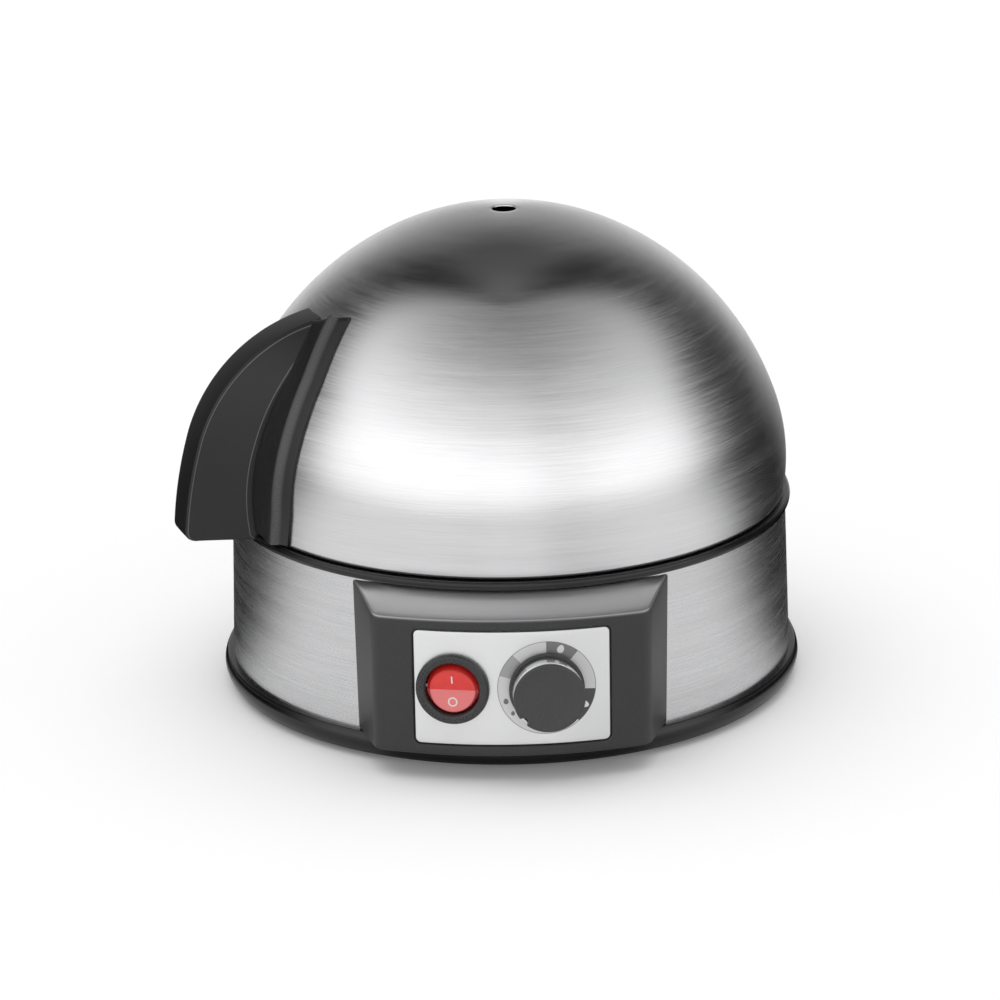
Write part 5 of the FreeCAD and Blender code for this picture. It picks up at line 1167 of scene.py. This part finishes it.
def floor():
    """White ground, a little brighter to the eye than to light."""
    mesh = bpy.data.meshes.new("floor")
    size = 3.0
    corners = [(-size, -size, 0), (size, -size, 0), (size, size, 0), (-size, size, 0)]
    mesh.from_pydata(corners, [], [(0, 1, 2, 3)])
    finish = Finish("floor_white")
    finish.set(Base_Color=(0.93, 0.93, 0.93), Roughness=0.9, Specular_IOR_Level=0.0)
    seen = finish.node("ShaderNodeLightPath", {}, {}, 0)
    finish.set(Emission_Color=blended(seen, BLACK, WHITE), Emission_Strength=0.1)
    mesh.materials.append(finish.material)
    added("floor", mesh)


def tent_cloth():
    """Cloth that dims or lightens what polished surfaces see of it, by its direction from the cooker."""
    finish = Finish("tent_cloth")
    x, y, z = finish.axes(finish.where())
    turn = x.math("ARCTAN2", x, 0.0 - y) * (180 / math.pi)
    away = turn.math("ABSOLUTE", turn)
    out = reach(x, y)
    rise = z.math("ARCTAN2", z, out) * (180 / math.pi)

    def by(value, low, high, stops):
        """Brightness along a value: stops of (value, brightness up to 2)."""
        ramp = [((place - low) / (high - low), level / 2) for place, level in stops]
        share = (value - low) * (1 / (high - low))
        return value.node("ShaderNodeValToRGB", {"stops": ramp}, {0: share}) * 2.0

    lean = 1.0 - x / reach(x, y, z) * 0.25 * soft_step(rise, 15.0, 50.0)
    front = by(rise, -20, 90, [(-20, 0.85), (0, 0.9), (6, 1.05), (14, 1.3), (24, 1.35), (33, 1.15),
                               (42, 0.92), (52, 0.72), (62, 0.5), (74, 0.33), (90, 0.22)])
    back = by(rise, -20, 90, [(-20, 1.2), (0, 0.95), (12, 0.66), (22, 0.46), (32, 0.3), (42, 0.17),
                              (54, 0.08), (70, 0.11), (90, 0.22)])
    side = away + soft_step(0.0 - rise, -20.0, 0.0) * 3.0 - soft_step(rise, 24.0, 54.0) * 31.0
    open_front = by(side, 0, 180, [(0, 1), (74, 1), (84, 0.72), (92, 0.34), (99, 0.1),
                                   (105, 0), (180, 0)])
    open_back = by(away, 0, 180, [(0, 0), (128, 0), (138, 0.14), (148, 0.4), (157, 0.85),
                                  (163, 1), (180, 1)])
    streaks = by(turn, -60, 60, [(-60, 1), (-22, 1.0), (-12, 0.92), (-4, 1.04), (2, 0.93), (8, 1.06),
                                 (13, 0.86), (20, 0.78), (30, 0.88), (45, 0.98), (60, 1)])
    level = front * open_front * streaks * lean + back * open_back * soft_step(out, 0.17, 0.27)
    clear = finish.node("ShaderNodeBsdfTransparent")
    cloth = finish.node("ShaderNodeMixShader", {}, {0: clipped(level), 2: clear})
    extra = clipped(level - 1.0)
    light = blended(extra, BLACK, WHITE)
    glow = finish.node("ShaderNodeEmission", {}, {"Color": light, "Strength": 1.0})
    both = finish.node("ShaderNodeAddShader", {}, {0: cloth, 1: glow})
    finish.tree.links.new(both.socket, finish.tree.nodes["Material Output"].inputs["Surface"])
    return finish.material


def tent():
    """Round studio tent and its sheet on the floor, which only polished surfaces see."""
    FINISHES["tent_cloth"] = tent_cloth()
    wall = turned(Skin(), arc((0, 0), 2400, -1, 88, 44) + [(0.0, 2400.0)], 96, closed=False)
    sheet = turned(Skin(), [(100.0, 0.3), (160.0, 0.3), (400.0, 0.3), (2390.0, 0.3)], 96, closed=False)
    for name, skin in (("tent_wall", wall), ("tent_sheet", sheet)):
        thing = finished(name, skin, "tent_cloth")
        for ray in ("camera", "diffuse", "transmission", "shadow", "volume_scatter"):
            setattr(thing, "visible_" + ray, False)


def sun():
    """Broad soft light from above and a little behind, which polished surfaces don't show."""
    data = bpy.data.lights.new("soft_key", "SUN")
    data.energy = 1.2
    data.angle = math.radians(75)
    thing = added("soft_key", data)
    thing.location = (-0.2, 0.3, 2.2)
    thing.rotation_euler = (Vector((0, 0, 0.08)) - thing.location).to_track_quat("-Z", "Y").to_euler()
    thing.visible_glossy = False


def camera():
    """Camera at the photograph's angle."""
    yaw, pitch, roll = math.radians(-0.13), math.radians(19.02), math.radians(-1.06)
    ahead = Vector((math.sin(yaw) * math.cos(pitch), math.cos(yaw) * math.cos(pitch), -math.sin(pitch)))
    level = Vector((math.cos(yaw), -math.sin(yaw), 0))
    upright = level.cross(ahead)
    right = math.cos(roll) * level + math.sin(roll) * upright
    up = -math.sin(roll) * level + math.cos(roll) * upright
    data = bpy.data.cameras.new("photo_camera")
    data.sensor_width = 36.0
    data.lens = 149.24
    data.clip_end = 20.0
    thing = added("photo_camera", data)
    thing.matrix_world = placed(right, up, -ahead, Vector((0, -1288.0, 500.82)) * MM)
    bpy.context.scene.camera = thing


studio_world()
floor()
tent()
sun()
camera()
bpy.context.scene.view_settings.view_transform = "Standard"
